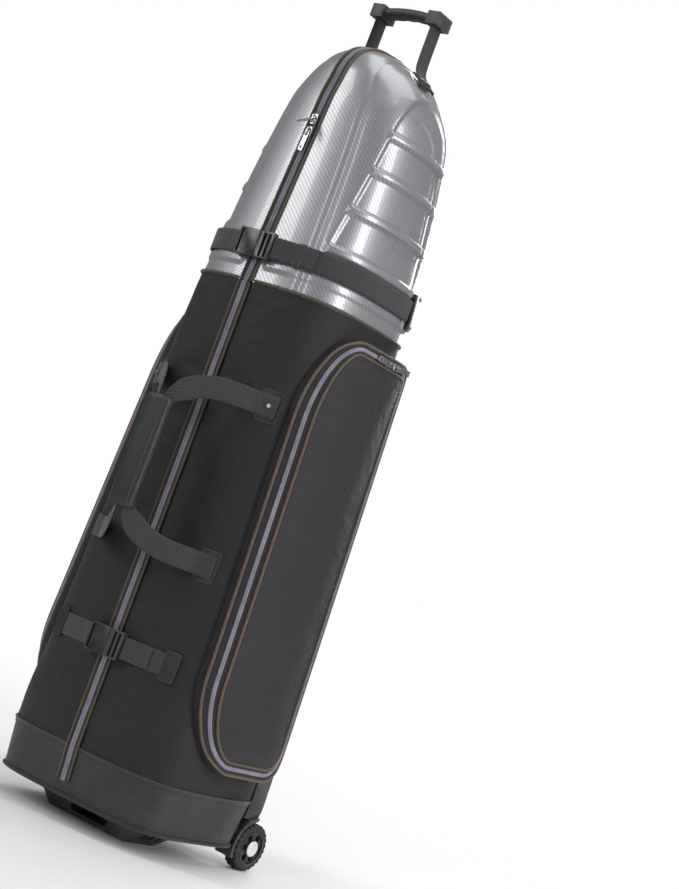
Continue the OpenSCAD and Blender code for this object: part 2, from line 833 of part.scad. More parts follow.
side(-1) pocket_slider(pocket_slide_y);  // pocket_slider_left
side(-1) pocket_pull(pocket_slide_y);  // pocket_pull_left
pocket_slider(pocket_slide_y);  // pocket_slider_front
pocket_pull(pocket_slide_y);  // pocket_pull_front
pocket_slider(pocket_slide_y + 22);  // pocket_slider_rear
pocket_pull_back(pocket_slide_y + 22);  // pocket_pull_rear
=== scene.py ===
"""Golf travel case: the finished visual model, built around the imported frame.

Sizes are in millimetres inside the classes and become metres when a mesh is made.
"""

import logging
import math
from collections.abc import Callable
from dataclasses import dataclass
from enum import Enum

import bmesh
import bpy
import numpy as np
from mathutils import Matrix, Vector


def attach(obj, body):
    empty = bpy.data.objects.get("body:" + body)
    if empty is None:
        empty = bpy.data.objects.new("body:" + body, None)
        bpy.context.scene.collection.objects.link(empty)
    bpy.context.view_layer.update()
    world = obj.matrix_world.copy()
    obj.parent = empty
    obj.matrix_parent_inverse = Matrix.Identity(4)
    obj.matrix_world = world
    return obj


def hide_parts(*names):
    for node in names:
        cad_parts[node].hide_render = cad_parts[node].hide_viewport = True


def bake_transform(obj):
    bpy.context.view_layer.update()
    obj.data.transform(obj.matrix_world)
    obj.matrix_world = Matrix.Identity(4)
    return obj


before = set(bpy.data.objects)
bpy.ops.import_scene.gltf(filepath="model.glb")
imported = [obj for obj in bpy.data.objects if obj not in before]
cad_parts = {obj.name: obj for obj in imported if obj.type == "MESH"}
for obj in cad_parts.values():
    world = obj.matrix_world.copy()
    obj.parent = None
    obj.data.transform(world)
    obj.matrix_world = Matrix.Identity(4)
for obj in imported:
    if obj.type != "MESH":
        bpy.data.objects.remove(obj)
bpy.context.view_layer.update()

LOG = logging.getLogger("golf_case")
MM = 0.001
Points = np.ndarray


class Side(Enum):
    """The two sides of the case: the sign of X."""

    LEFT = -1
    RIGHT = 1

    @property
    def word(self) -> str:
        """The side's word in body and node names."""
        return self.name.lower()

    @property
    def top(self) -> str:
        """The hard top's body on this side."""
        return f"top_{self.word}"

    def mirror(self, points: Points) -> Points:
        """Points made for the right side, put on this side."""
        out = np.array(points, float)
        out[..., 0] *= self.value
        return out


# ------------------------------------------------------------------ curves


def smoothstep(x: Points) -> Points:
    """A soft step from 0 to 1."""
    t = np.clip(x, 0.0, 1.0)
    return t * t * (3 - 2 * t)


def spline(points: list, count: int, closed: bool = False) -> Points:
    """A smooth line through control points, evenly spaced along its length.

    Args:
        points: control points, all of one dimension.
        count: how many points to return.
        closed: whether the line returns to its start.

    Returns:
        An array of count points.
    """
    p = np.array(points, float)
    if closed:
        p = np.vstack([p[-1], p, p[0], p[1]])
    else:
        p = np.vstack([2 * p[0] - p[1], p, 2 * p[-1] - p[-2]])
    fine = []
    for k in range(1, len(p) - 2):
        a, b, c, d = p[k - 1], p[k], p[k + 1], p[k + 2]
        for t in np.linspace(0, 1, 24, endpoint=False):
            fine.append(
                0.5 * (2 * b + (c - a) * t + (2 * a - 5 * b + 4 * c - d) * t * t
                       + (3 * b - a - 3 * c + d) * t ** 3)
            )
    fine.append(p[-2])
    return resample(np.array(fine), count)


def lengths(line: Points) -> Points:
    """Distance along a line at each of its points."""
    step = np.linalg.norm(np.diff(line, axis=0), axis=1)
    return np.concatenate([[0.0], np.cumsum(step)])


def sample(line: Points, at: Points) -> Points:
    """Points of a line at given distances along it."""
    s = lengths(line)
    return np.stack([np.interp(at, s, line[:, k]) for k in range(line.shape[1])], axis=1)


def resample(line: Points, count: int) -> Points:
    """The same line with evenly spaced points."""
    return sample(line, np.linspace(0, lengths(line)[-1], count))


def heading(line: Points) -> Points:
    """Unit directions along a line."""
    return unit(np.gradient(line, axis=0))


def runs_across(points: Points) -> Points:
    """The distance run over a grid's columns, row by row."""
    return np.stack([lengths(points[:, k]) for k in range(points.shape[1])], axis=1)


def reach(wide: Points, deep: Points, a: float, b: float, power: float) -> Points:
    """How far a rounded box with half sizes a and b reaches in a direction."""
    return (np.abs(wide / a) ** power + np.abs(deep / b) ** power) ** (-1 / power)


def looped(line: Points) -> Points:
    """A closed line with its first point repeated at its end."""
    return np.vstack([line, line[:1]])


def shade(tone: tuple, times: float, plus: float = 0.0) -> tuple:
    """A colour made lighter or darker, no channel past white."""
    return tuple(min(c * times + plus, 1) for c in tone)


def unit(v: Points) -> Points:
    """Vectors scaled to length 1."""
    return v / np.maximum(np.linalg.norm(v, axis=-1, keepdims=True), 1e-9)


def line_distance(points: Points, line: Points) -> Points:
    """Shortest distance of 2-D points from a 2-D line of straight pieces."""
    best = np.full(len(points), 1e9)
    for a, b in zip(line[:-1], line[1:]):
        d = b - a
        t = np.clip(((points - a) @ d) / max(float(d @ d), 1e-9), 0, 1)
        best = np.minimum(best, np.linalg.norm(points - a - t[:, None] * d, axis=1))
    return best


def inside(points: Points, outline: Points) -> Points:
    """Whether each 2-D point lies inside a closed outline."""
    x, y = points[:, 0], points[:, 1]
    hit = np.zeros(len(points), bool)
    for (ax, ay), (bx, by) in zip(outline, np.roll(outline, -1, axis=0)):
        crosses = (ay > y) != (by > y)
        span = np.where(abs(by - ay) < 1e-9, 1e-9, by - ay)
        hit ^= crosses & (x < (bx - ax) * (y - ay) / span + ax)
    return hit


# ------------------------------------------------------------------ forms


class Form:
    """A body with rounded-rectangle level curves that change with height."""

    def __init__(self, rows: list) -> None:
        """Keeps rows of height, half width, half depth and corner power."""
        self.rows = np.array(rows, float)

    def at(self, z: Points) -> tuple:
        """Half width, half depth and corner power at each height."""
        r = self.rows
        return tuple(np.interp(z, r[:, 0], r[:, k]) for k in (1, 2, 3))

    def point(self, phi: Points, z: Points, out: Points = 0.0) -> Points:
        """Points on the surface, out millimetres off it.

        Args:
            phi: angle from the front middle, a quarter turn being the +X side.
            z: height.
            out: distance outward.

        Returns:
            An array of points.
        """
        phi, z = np.broadcast_arrays(np.asarray(phi, float), np.asarray(z, float))
        a, b, n = self.at(z)
        a, b = a + out, b + out
        s, c = np.sin(phi), np.cos(phi)
        r = ((np.abs(s) / a) ** n + (np.abs(c) / b) ** n) ** (-1 / n)
        return np.stack([r * s, -r * c, z], axis=-1)

    def phi_at_x(self, x: Points, z: Points, out: Points = 0.0) -> Points:
        """Angle of the front point with a given x."""
        a, b, n = self.at(np.asarray(z, float))
        share = np.clip(np.abs(x) / (a + out), 0, 1)
        depth = (b + out) * (1 - share ** n) ** (1 / n)
        return np.arctan2(np.asarray(x, float), depth)

    def phi_at_y(self, y: Points, z: Points, out: Points = 0.0) -> Points:
        """Angle of the right side's point with a given y."""
        a, b, n = self.at(np.asarray(z, float))
        share = np.clip(np.abs(y) / (b + out), 0, 1)
        width = (a + out) * (1 - share ** n) ** (1 / n)
        return np.arctan2(width, -np.asarray(y, float))


@dataclass(frozen=True)
class Sizes:
    """The driving sizes of the case, the same as the frame's."""

    base_z: float = 34.0
    band_z: float = 114.0
    shell_z: float = 869.0
    top_h: float = 435.0
    seam_x: float = 13.1
    split_x: float = 100.0
    pocket_out: float = 22.0
    pocket_low: float = 152.0
    pocket_high: float = 842.0
    pocket_front: float = 112.0
    pocket_back: float = 124.0
    band: float = 20.0
    webbing: float = 36.0
    strap_z: float = 927.0
    low_strap_z: float = 278.0
    carry_z: float = 566.0
    carry_span: float = 257.0
    grip_z: float = 1382.0

    @property
    def apex_z(self) -> float:
        """Height of the hard top's crown."""
        return self.shell_z + self.top_h


SIZE = Sizes()
BODY = Form([
    (SIZE.base_z, 170, 136, 4.2),
    (SIZE.band_z, 179, 145, 4.0),
    (SIZE.shell_z, 148, 152, 3.1),
])
TOP_ROWS = np.array([
    (0, 148, 152, 3.1), (80, 145, 146, 3.0), (160, 140.6, 140.1, 2.85),
    (240, 134.4, 134.1, 2.7), (315, 125.1, 128.5, 2.55), (352, 113.2, 121.5, 2.5),
    (378, 97.7, 116, 2.45), (398, 81.4, 106, 2.4), (413, 62.9, 92, 2.3),
    (424, 42.9, 72, 2.2), (431, 22.9, 44, 2.1), (435, 0.5, 1, 2.0),
])


def top_meridian(count: int) -> Points:
    """The hard top's rows made smooth: height, half width, half depth and power."""
    return spline(TOP_ROWS[:, :3].tolist(), count)


class TopForm(Form):
    """The hard top's form, smooth between its rows."""

    def __init__(self) -> None:
        """Fills a fine table of rows from the smooth meridian."""
        line = top_meridian(400)
        power = np.interp(line[:, 0], TOP_ROWS[:, 0], TOP_ROWS[:, 3])
        height = np.maximum.accumulate(line[:, 0]) + np.arange(400) * 1e-6
        super().__init__(np.column_stack([SIZE.shell_z + height, line[:, 1], line[:, 2], power]))


TOP = TopForm()


# ------------------------------------------------------------------ modelling kit


class Kit:
    """The bench: makes, dresses and places meshes."""

    @staticmethod
    def clear() -> None:
        """Leaves nothing selected."""
        bpy.ops.object.select_all(action="DESELECT")

    @staticmethod
    def pick(obj: bpy.types.Object) -> None:
        """Selects one object and makes it the active one."""
        Kit.clear()
        obj.select_set(True)
        bpy.context.view_layer.objects.active = obj

    @staticmethod
    def sheet(name: str, points: Points, uv: Points | None = None, flip: bool = False,
              weld: bool = True) -> bpy.types.Object:
        """A grid of faces through an array of points.

        Args:
            name: the piece's name.
            points: array of columns x rows x 3, in millimetres.
            uv: array of columns x rows x 2, in millimetres, for the weave.
            flip: whether the faces turn round.
            weld: whether points in the same place are merged.

        Returns:
            The new object, with its place in its mesh.
        """
        cols, rows = points.shape[:2]
        Kit.clear()
        bpy.ops.mesh.primitive_grid_add(x_subdivisions=cols - 1, y_subdivisions=rows - 1,
                                        size=2, location=(0, 0, 0))
        obj = bpy.context.object
        obj.name = obj.data.name = name
        mesh = obj.data
        co = np.zeros(len(mesh.vertices) * 3)
        mesh.vertices.foreach_get("co", co)
        co = co.reshape(-1, 3)
        i = np.rint((co[:, 0] + 1) / 2 * (cols - 1)).astype(int)
        j = np.rint((co[:, 1] + 1) / 2 * (rows - 1)).astype(int)
        mesh.vertices.foreach_set("co", (points[i, j] * MM).ravel())
        if uv is not None:
            loop = np.zeros(len(mesh.loops), int)
            mesh.loops.foreach_get("vertex_index", loop)
            mesh.uv_layers.active.data.foreach_set("uv", (uv[i, j] * MM)[loop].ravel())
        if flip:
            mesh.flip_normals()
        if weld:
            Kit.weld(obj)
        mesh.update()
        return obj

    @staticmethod
    def edit(obj: bpy.types.Object, operator: Callable, **settings: object) -> None:
        """Runs one edit mode operator on the whole of a piece."""
        Kit.pick(obj)
        bpy.ops.object.mode_set(mode="EDIT")
        bpy.ops.mesh.select_all(action="SELECT")
        operator(**settings)
        bpy.ops.object.mode_set(mode="OBJECT")

    @staticmethod
    def weld(obj: bpy.types.Object, gap: float = 0.01) -> None:
        """Merges points closer than gap millimetres."""
        Kit.edit(obj, bpy.ops.mesh.remove_doubles, threshold=gap * MM)

    @staticmethod
    def outward(obj: bpy.types.Object) -> None:
        """Turns the faces of a closed piece outward."""
        Kit.edit(obj, bpy.ops.mesh.normals_make_consistent, inside=False)

    @staticmethod
    def modify(obj: bpy.types.Object, kind: str, **settings: object) -> None:
        """Adds a modifier and applies it."""
        Kit.pick(obj)
        mod = obj.modifiers.new(kind.title(), kind)
        for key, value in settings.items():
            setattr(mod, key, value)
        bpy.ops.object.modifier_apply(modifier=mod.name)

    @staticmethod
    def thicken(obj: bpy.types.Object, wall: float, angle: float = 50.0) -> None:
        """Gives a sheet a wall, inward from its faces, and shades it soft below an angle."""
        Kit.modify(obj, "SOLIDIFY", thickness=wall * MM, offset=-1.0, use_even_offset=False)
        Kit.smooth(obj, angle)

    @staticmethod
    def inflate(obj: bpy.types.Object, held: list, pressure: float, cap: float,
                growth: float = 0.012, frames: int = 20) -> None:
        """Swells a sheet of cloth that is held at its rim, by a cloth simulation.

        Args:
            obj: the sheet, still without its wall.
            held: numbers of the vertices that stay where they are.
            pressure: the filling's push on the cloth.
            cap: the furthest that a point may move, in millimetres.
            growth: how much longer the cloth is cut than its place.
            frames: how many frames the cloth settles for.
        """
        Kit.pick(obj)
        group = obj.vertex_groups.new(name="held")
        group.add([int(k) for k in held], 1.0, "REPLACE")
        cloth = obj.modifiers.new("Cloth", "CLOTH")
        cloth.point_cache.frame_start, cloth.point_cache.frame_end = 1, frames
        rules = cloth.settings
        rules.quality, rules.mass, rules.air_damping = 6, 0.35, 4.0
        rules.tension_stiffness = rules.compression_stiffness = 18
        rules.shear_stiffness, rules.bending_stiffness = 8, 1.2
        rules.vertex_group_mass, rules.pin_stiffness = "held", 1.0
        rules.shrink_min = -growth
        rules.use_pressure, rules.uniform_pressure_force = True, pressure
        rules.effector_weights.gravity = 0.0
        scene = bpy.context.scene
        for step in range(1, frames + 1):
            scene.frame_set(step)
        settled = obj.evaluated_get(bpy.context.evaluated_depsgraph_get()).data
        count = len(obj.data.vertices)
        start, end = np.zeros(count * 3), np.zeros(count * 3)
        obj.data.vertices.foreach_get("co", start)
        settled.vertices.foreach_get("co", end)
        move = (end - start).reshape(-1, 3)
        size = np.linalg.norm(move, axis=1, keepdims=True)
        limit = cap * MM
        move *= limit * np.tanh(size / limit) / np.maximum(size, 1e-12)
        obj.modifiers.remove(cloth)
        obj.vertex_groups.remove(group)
        obj.data.vertices.foreach_set("co", start + move.ravel())
        obj.data.update()
        scene.frame_set(1)
        LOG.info("%s: cloth moved up to %.1f mm", obj.name, float(size.max()) / MM)

    @staticmethod
    def rim(obj: bpy.types.Object) -> list:
        """The numbers of a sheet's vertices on its open edges."""
        mesh = bmesh.new()
        mesh.from_mesh(obj.data)
        rim = [v.index for v in mesh.verts if v.is_boundary]
        mesh.free()
        return rim

    @staticmethod
    def smooth(obj: bpy.types.Object, angle: float = 40.0) -> None:
        """Shades soft where faces meet at less than the angle in degrees."""
        Kit.pick(obj)
        bpy.ops.object.shade_smooth_by_angle(angle=math.radians(angle))

    @staticmethod
    def softened(node: str, name: str, edge: float = 0.5, segments: int = 2) -> bpy.types.Object:
        """A copy of a frame part with its edges rounded, standing for that part.

        Args:
            node: the frame part.
            name: the new piece's name.
            edge: the rounding in millimetres.
            segments: facets across a rounded edge.

        Returns:
            The new object.
        """
        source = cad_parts[node]
        obj = bpy.data.objects.new(name, source.data.copy())
        obj.data.materials.clear()
        bpy.context.scene.collection.objects.link(obj)
        Kit.weld(obj)
        Kit.edit(obj, bpy.ops.mesh.dissolve_limited, angle_limit=math.radians(2))
        if edge:
            Kit.modify(obj, "BEVEL", width=edge * MM, segments=segments, limit_method="ANGLE",
                       angle_limit=math.radians(35), use_clamp_overlap=True,
                       harden_normals=False)
        Kit.smooth(obj, 35)
        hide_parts(node)
        return obj

    @staticmethod
    def sweep(name: str, centre: Points, across: Points, lift: Points, section: Points,
              closed: bool = False, angle: float = 50.0) -> bpy.types.Object:
        """A solid strip with a closed cross-section, along a line.

        Args:
            name: the piece's name.
            centre: the line, n x 3.
            across: unit vectors across the strip, n x 3.
            lift: unit vectors off the strip, n x 3.
            section: the cross-section, k x 2 or n x k x 2, first point not repeated.
            closed: whether the line is a loop.
            angle: faces that meet at less than this many degrees are shaded soft.

        Returns:
            The new object, its weave running along the line.
        """
        n = len(centre)
        ring = np.broadcast_to(section, (n,) + section.shape[-2:]).copy()
        ring = np.concatenate([ring, ring[:, :1]], axis=1)
        points = (centre[:, None] + ring[..., :1] * across[:, None]
                  + ring[..., 1:] * lift[:, None])
        run = np.repeat(lengths(centre)[:, None], ring.shape[1], axis=1)
        round_ = np.concatenate([np.zeros((n, 1)), np.cumsum(
            np.linalg.norm(np.diff(ring, axis=1), axis=2), axis=1)], axis=1)
        uv = np.stack([run, round_], axis=-1)
        if closed:
            points = np.concatenate([points, points[:1]])
            end = uv[-1:].copy()
            end[..., 0] += np.linalg.norm(centre[0] - centre[-1])
            uv = np.concatenate([uv, end])
        else:
            mid = [points[k, :-1].mean(axis=0) for k in (0, -1)]
            caps = [np.repeat(m[None, None], points.shape[1], axis=1) for m in mid]
            points = np.concatenate([caps[0], points, caps[1]])
            uv = np.concatenate([uv[:1], uv, uv[-1:]])
        obj = Kit.sheet(name, points, uv)
        Kit.outward(obj)
        Kit.smooth(obj, angle)
        return obj

    @staticmethod
    def tube(name: str, path: Points, radius: float, closed: bool = False,
             sides: int = 10) -> bpy.types.Object:
        """A round cord along a line, its ends rounded when it isn't a loop."""
        path = np.asarray(path, float)
        if closed:
            ahead, behind = np.roll(path, -1, axis=0), np.roll(path, 1, axis=0)
            tangent = unit(ahead - behind)
        else:
            tangent = heading(path)
        side = np.zeros_like(path)
        seed = np.array([0.0, 0.0, 1.0]) if abs(tangent[0][2]) < 0.9 else np.array([1.0, 0, 0])
        last = np.cross(tangent[0], seed)
        for k, t in enumerate(tangent):
            last = last - (last @ t) * t
            last = last / np.linalg.norm(last)
            side[k] = last
        up = np.cross(tangent, side)
        angle = np.linspace(0, 2 * np.pi, sides, endpoint=False)
        ring = np.stack([np.cos(angle), np.sin(angle)], axis=1) * radius
        section = np.broadcast_to(ring, (len(path),) + ring.shape).copy()
        if not closed:
            step = max(np.linalg.norm(path[1] - path[0]), 1e-6)
            share = np.minimum(np.arange(len(path)), np.arange(len(path))[::-1]) * step / radius
            scale = np.sqrt(np.clip(1 - (1 - np.clip(share, 0, 1)) ** 2, 0.05, 1))
            section *= scale[:, None, None]
        return Kit.sweep(name, path, side, up, section, closed, angle=60)

    @staticmethod
    def flat_section(width: float, thick: float) -> Points:
        """The cross-section of webbing: flat with soft edges, its middle on the line."""
        half, t = width / 2, thick / 2
        top = [(x, t) for x in np.linspace(-half + t, half - t, 9)]
        return np.array(top + [(half, 0)] + [(x, -y) for x, y in top[::-1]] + [(-half, 0)])

    @staticmethod
    def stitches(name: str, lines: list, pitch: float = 4.2, length: float = 3.0,
                 radius: float = 0.42) -> bpy.types.Object:
        """Rows of sewn thread, one small oval a stitch.

        Args:
            name: the piece's name.
            lines: the seams, each n x 3, in millimetres.
            pitch: distance from stitch to stitch.
            length: length of a stitch.
            radius: half the thread's thickness.

        Returns:
            One object with all the stitches.
        """
        Kit.clear()
        bpy.ops.mesh.primitive_uv_sphere_add(segments=6, ring_count=4, radius=1)
        proto = bpy.context.object
        shape = np.array([v.co for v in proto.data.vertices])[:, [2, 0, 1]]
        shape = shape * [length / 2, radius, radius]
        faces = [list(p.vertices) for p in proto.data.polygons]
        bpy.data.objects.remove(proto)
        verts, polys = [], []
        for line in lines:
            s = lengths(line)
            count = max(int(s[-1] / pitch), 1)
            at = (np.arange(count) + 0.5) * s[-1] / count
            here = sample(line, at)
            x_dir = unit(sample(line, at + 0.5) - sample(line, at - 0.5))
            y_dir = unit(np.cross(x_dir, np.where(abs(x_dir[:, 2:]) > 0.9, [[1.0, 0, 0]],
                                                  [[0.0, 0, 1.0]])))
            z_dir = np.cross(x_dir, y_dir)
            for p, a, b, c in zip(here, x_dir, y_dir, z_dir):
                start = len(verts) * len(shape)
                verts.append(p + shape @ np.stack([a, b, c]))
                polys += [[start + k for k in f] for f in faces]
        mesh = bpy.data.meshes.new(name)
        mesh.from_pydata((np.concatenate(verts) * MM).tolist(), [], polys)
        obj = bpy.data.objects.new(name, mesh)
        bpy.context.scene.collection.objects.link(obj)
        Kit.outward(obj)
        Kit.smooth(obj, 80)
        return obj

    @staticmethod
    def dress(obj: bpy.types.Object, material: bpy.types.Material, slot: str,
              body: str | None = None, *nodes: str) -> bpy.types.Object:
        """Gives a piece its finish, body and the frame parts it stands for."""
        obj.data.materials.clear()
        obj.data.materials.append(material)
        if nodes:
            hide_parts(*nodes)
        if body:
            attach(obj, body)
        LOG.info("%s: %d faces", obj.name, len(obj.data.polygons))
        return obj


# ------------------------------------------------------------------ finishes


class Paint:
    """A material under construction: its nodes and their links."""

    def __init__(self, name: str, **shader: object) -> None:
        """Starts a material and sets its shader's own sockets.

        Args:
            name: the finish's name.
            shader: values of the shader's sockets, words joined by underscores.
        """
        self.material = bpy.data.materials.new(name)
        self.material.use_nodes = True
        self.tree = self.material.node_tree
        self.shader = self.tree.nodes["Principled BSDF"]
        for key, value in shader.items():
            self.shader.inputs[key.replace("_", " ")].default_value = value

    def node(self, kind: str, links: dict | None = None, **settings: object) -> bpy.types.Node:
        """Adds a node, sets its properties and feeds its inputs."""
        made = self.tree.nodes.new(kind)
        for key, value in settings.items():
            setattr(made, key, value)
        for key, value in (links or {}).items():
            self.feed(value, made.inputs[key])
        return made

    def feed(self, value: object, socket: bpy.types.NodeSocket) -> None:
        """Links a socket, or sets a plain value."""
        if isinstance(value, bpy.types.NodeSocket):
            self.tree.links.new(value, socket)
        else:
            socket.default_value = value

    def math(self, operation: str, *values: object) -> bpy.types.NodeSocket:
        """A sum of numbers or sockets."""
        made = self.node("ShaderNodeMath", operation=operation)
        for k, value in enumerate(values):
            self.feed(value, made.inputs[k])
        return made.outputs[0]

    def weave(self, scale: tuple = (1.0, 1.0)) -> tuple:
        """The piece's own cloth coordinates, across and along, in metres times scale."""
        uv = self.node("ShaderNodeUVMap", uv_map="UVMap").outputs[0]
        split = self.node("ShaderNodeSeparateXYZ", {0: uv})
        return tuple(self.math("MULTIPLY", split.outputs[k], scale[k]) for k in (0, 1))

    def place(self) -> bpy.types.NodeSocket:
        """The place on the object, in metres."""
        return self.node("ShaderNodeTexCoord").outputs["Object"]

    def noise(self, scale: float, detail: float = 3.0, rough: float = 0.55,
              at: bpy.types.NodeSocket | None = None) -> bpy.types.NodeSocket:
        """Soft random variation, from 0 to 1."""
        return self.node("ShaderNodeTexNoise", {
            "Vector": at or self.place(), "Scale": scale, "Detail": detail, "Roughness": rough,
        }).outputs["Fac"]

    def span(self, value: bpy.types.NodeSocket, low: float, high: float,
             to_low: float, to_high: float) -> bpy.types.NodeSocket:
        """A value moved from one range to another."""
        return self.node("ShaderNodeMapRange", {
            "Value": value, "From Min": low, "From Max": high, "To Min": to_low, "To Max": to_high,
        }).outputs[0]

    def blend(self, share: object, a: object, b: object) -> bpy.types.NodeSocket:
        """A colour between two colours."""
        made = self.node("ShaderNodeMix", data_type="RGBA")
        self.feed(share, made.inputs[0])
        for key, value in ((6, a), (7, b)):
            self.feed(value if isinstance(value, bpy.types.NodeSocket) else (*value, 1.0),
                      made.inputs[key])
        return made.outputs[2]

    def wear(self, low: float = 0.52, high: float = 0.60) -> bpy.types.NodeSocket:
        """How far a place is a raised edge, from 0 to 1."""
        point = self.node("ShaderNodeNewGeometry").outputs["Pointiness"]
        return self.span(point, low, high, 0.0, 1.0)

    def finish(self, colour: object, rough: object, height: object = None,
               depth: float = 0.0003, strength: float = 0.6) -> bpy.types.Material:
        """Feeds the shader and returns the material."""
        self.feed(colour if isinstance(colour, bpy.types.NodeSocket) else (*colour, 1.0),
                  self.shader.inputs["Base Color"])
        self.feed(rough, self.shader.inputs["Roughness"])
        if height is not None:
            bump = self.node("ShaderNodeBump", {"Height": height, "Strength": strength,
                                                "Distance": depth})
            self.tree.links.new(bump.outputs[0], self.shader.inputs["Normal"])
        return self.material

    def dots(self, pitch: float) -> bpy.types.NodeSocket:
        """A staggered lattice of raised dots, from 0 to 1.

        Args:
            pitch: distance between dots in a row, in millimetres.
        """
        turn = 2 * math.pi / (pitch * MM)
        across, along = self.weave((turn, turn))
        wave = self.math("MULTIPLY", self.math("COSINE", across), self.math("COSINE", along))
        return self.math("POWER", self.math("MAXIMUM", wave, 0.0), 0.6)

    def twill(self, pitch: float) -> tuple:
        """Two-over-two twill: which yarn is on top, and the yarns' rounding.

        Args:
            pitch: width of one yarn in millimetres.
        """
        across, along = self.weave((1 / (pitch * MM), 1 / (pitch * MM)))
        step = self.math("ADD", self.math("FLOOR", across), self.math("FLOOR", along))
        over = self.math("LESS_THAN", self.math("FLOORED_MODULO", step, 4.0), 2.0)
        arcs = [self.math("ABSOLUTE", self.math("SINE", self.math("MULTIPLY", x, math.pi)))
                for x in (across, along)]
        round_ = self.node("ShaderNodeMix", {0: over, 2: arcs[0], 3: arcs[1]}).outputs[0]
        return over, round_


@dataclass(frozen=True)
class DottedCloth:
    """Coated polyester with raised dots."""

    name: str
    ground: tuple
    dot: tuple
    pitch: float
    depth: float = 0.0005
    rough: float = 0.52

    def make(self) -> bpy.types.Material:
        """Builds the material."""
        p = Paint(self.name, Sheen_Weight=0.05, Sheen_Roughness=0.5, Specular_IOR_Level=0.38)
        dots = p.dots(self.pitch)
        yarn = p.noise(2600, 2)
        broad = p.noise(9, 3)
        colour = p.blend(dots, self.ground, self.dot)
        colour = p.blend(p.span(broad, 0.3, 0.7, 0.0, 0.22), colour, (0.004, 0.004, 0.005))
        colour = p.blend(p.math("MULTIPLY", p.wear(0.55, 0.66), 0.05), colour, (0.10, 0.10, 0.11))
        rough = p.math("ADD", p.span(dots, 0, 1, self.rough + 0.16, self.rough - 0.1),
                       p.span(yarn, 0, 1, -0.05, 0.05))
        height = p.math("ADD", dots, p.math("MULTIPLY", yarn, 0.12))
        return p.finish(colour, rough, height, self.depth, 0.7)


@dataclass(frozen=True)
class TwillShell:
    """Moulded shell: silver-grey twill under clear gloss, its sheen painted in as lighter and
    darker yarns.
    """

    name: str = "silver_twill_shell"
    # light and dark are the lit and shaded yarn colours of the painted twill highlight.
    light: tuple = (0.42, 0.425, 0.44)
    dark: tuple = (0.25, 0.255, 0.265)
    pitch: float = 2.1

    def make(self) -> bpy.types.Material:
        """Builds the material."""
        p = Paint(self.name, Metallic=0.55, Coat_Weight=0.7, Coat_Roughness=0.07,
                  Specular_IOR_Level=0.5)
        over, round_ = p.twill(self.pitch)
        # The warp and weft squares and each yarn's rounding are painted in lighter and darker
        # shades: a painted highlight standing in for the twill's sheen under the gloss.
        tone = p.math("MULTIPLY_ADD", over, 0.55, p.math("MULTIPLY", round_, 0.3))
        broad = p.noise(6, 2)
        tone = p.math("ADD", tone, p.span(broad, 0.3, 0.7, -0.08, 0.08))
        colour = p.blend(tone, self.dark, self.light)
        scuff = p.math("MULTIPLY", p.wear(0.53, 0.60), p.noise(160, 4, 0.7))
        colour = p.blend(p.math("MULTIPLY", scuff, 0.35), colour, (0.78, 0.79, 0.81))
        rough = p.math("ADD", p.span(over, 0, 1, 0.42, 0.34),
                       p.span(p.noise(40), 0, 1, -0.04, 0.05))
        return p.finish(colour, rough, round_, 0.00016, 0.35)


@dataclass(frozen=True)
class Coated:
    """Smooth coated leather-like cloth or pebbled leatherette."""

    name: str
    tone: tuple
    grain: float = 900.0
    depth: float = 0.00025
    rough: float = 0.46
    coat: float = 0.12

    def make(self) -> bpy.types.Material:
        """Builds the material."""
        p = Paint(self.name, Coat_Weight=self.coat, Coat_Roughness=0.35, Specular_IOR_Level=0.45)
        cells = p.node("ShaderNodeTexVoronoi", {"Vector": p.place(), "Scale": self.grain},
                       feature="SMOOTH_F1").outputs[0]
        fold = p.noise(26, 4, 0.6)
        height = p.math("ADD", p.math("MULTIPLY", cells, 0.8), p.math("MULTIPLY", fold, 1.2))
        colour = p.blend(p.span(fold, 0.35, 0.7, 0, 1), self.tone, shade(self.tone, 0.55))
        colour = p.blend(p.math("MULTIPLY", p.wear(), 0.5), colour,
                         shade(self.tone, 2.6, 0.02))
        rough = p.math("ADD", self.rough, p.span(p.noise(70), 0.3, 0.7, -0.07, 0.07))
        return p.finish(colour, rough, height, self.depth, 0.5)


@dataclass(frozen=True)
class Webbing:
    """Woven strap with a fine diagonal twill."""

    name: str
    tone: tuple
    pitch: float = 1.5

    def make(self) -> bpy.types.Material:
        """Builds the material."""
        p = Paint(self.name, Sheen_Weight=0.25, Sheen_Roughness=0.4, Specular_IOR_Level=0.4)
        over, round_ = p.twill(self.pitch)
        fluff = p.noise(3200, 2)
        tone = p.math("ADD", p.math("MULTIPLY", over, 0.6), p.math("MULTIPLY", round_, 0.4))
        colour = p.blend(tone, shade(self.tone, 0.42), self.tone)
        colour = p.blend(p.span(p.noise(30), 0.4, 0.75, 0, 0.3), colour,
                         shade(self.tone, 0.5))
        rough = p.span(fluff, 0, 1, 0.62, 0.85)
        height = p.math("ADD", round_, p.math("MULTIPLY", over, 0.5))
        return p.finish(colour, rough, p.math("MULTIPLY_ADD", fluff, 0.2, height), 0.0004, 0.75)


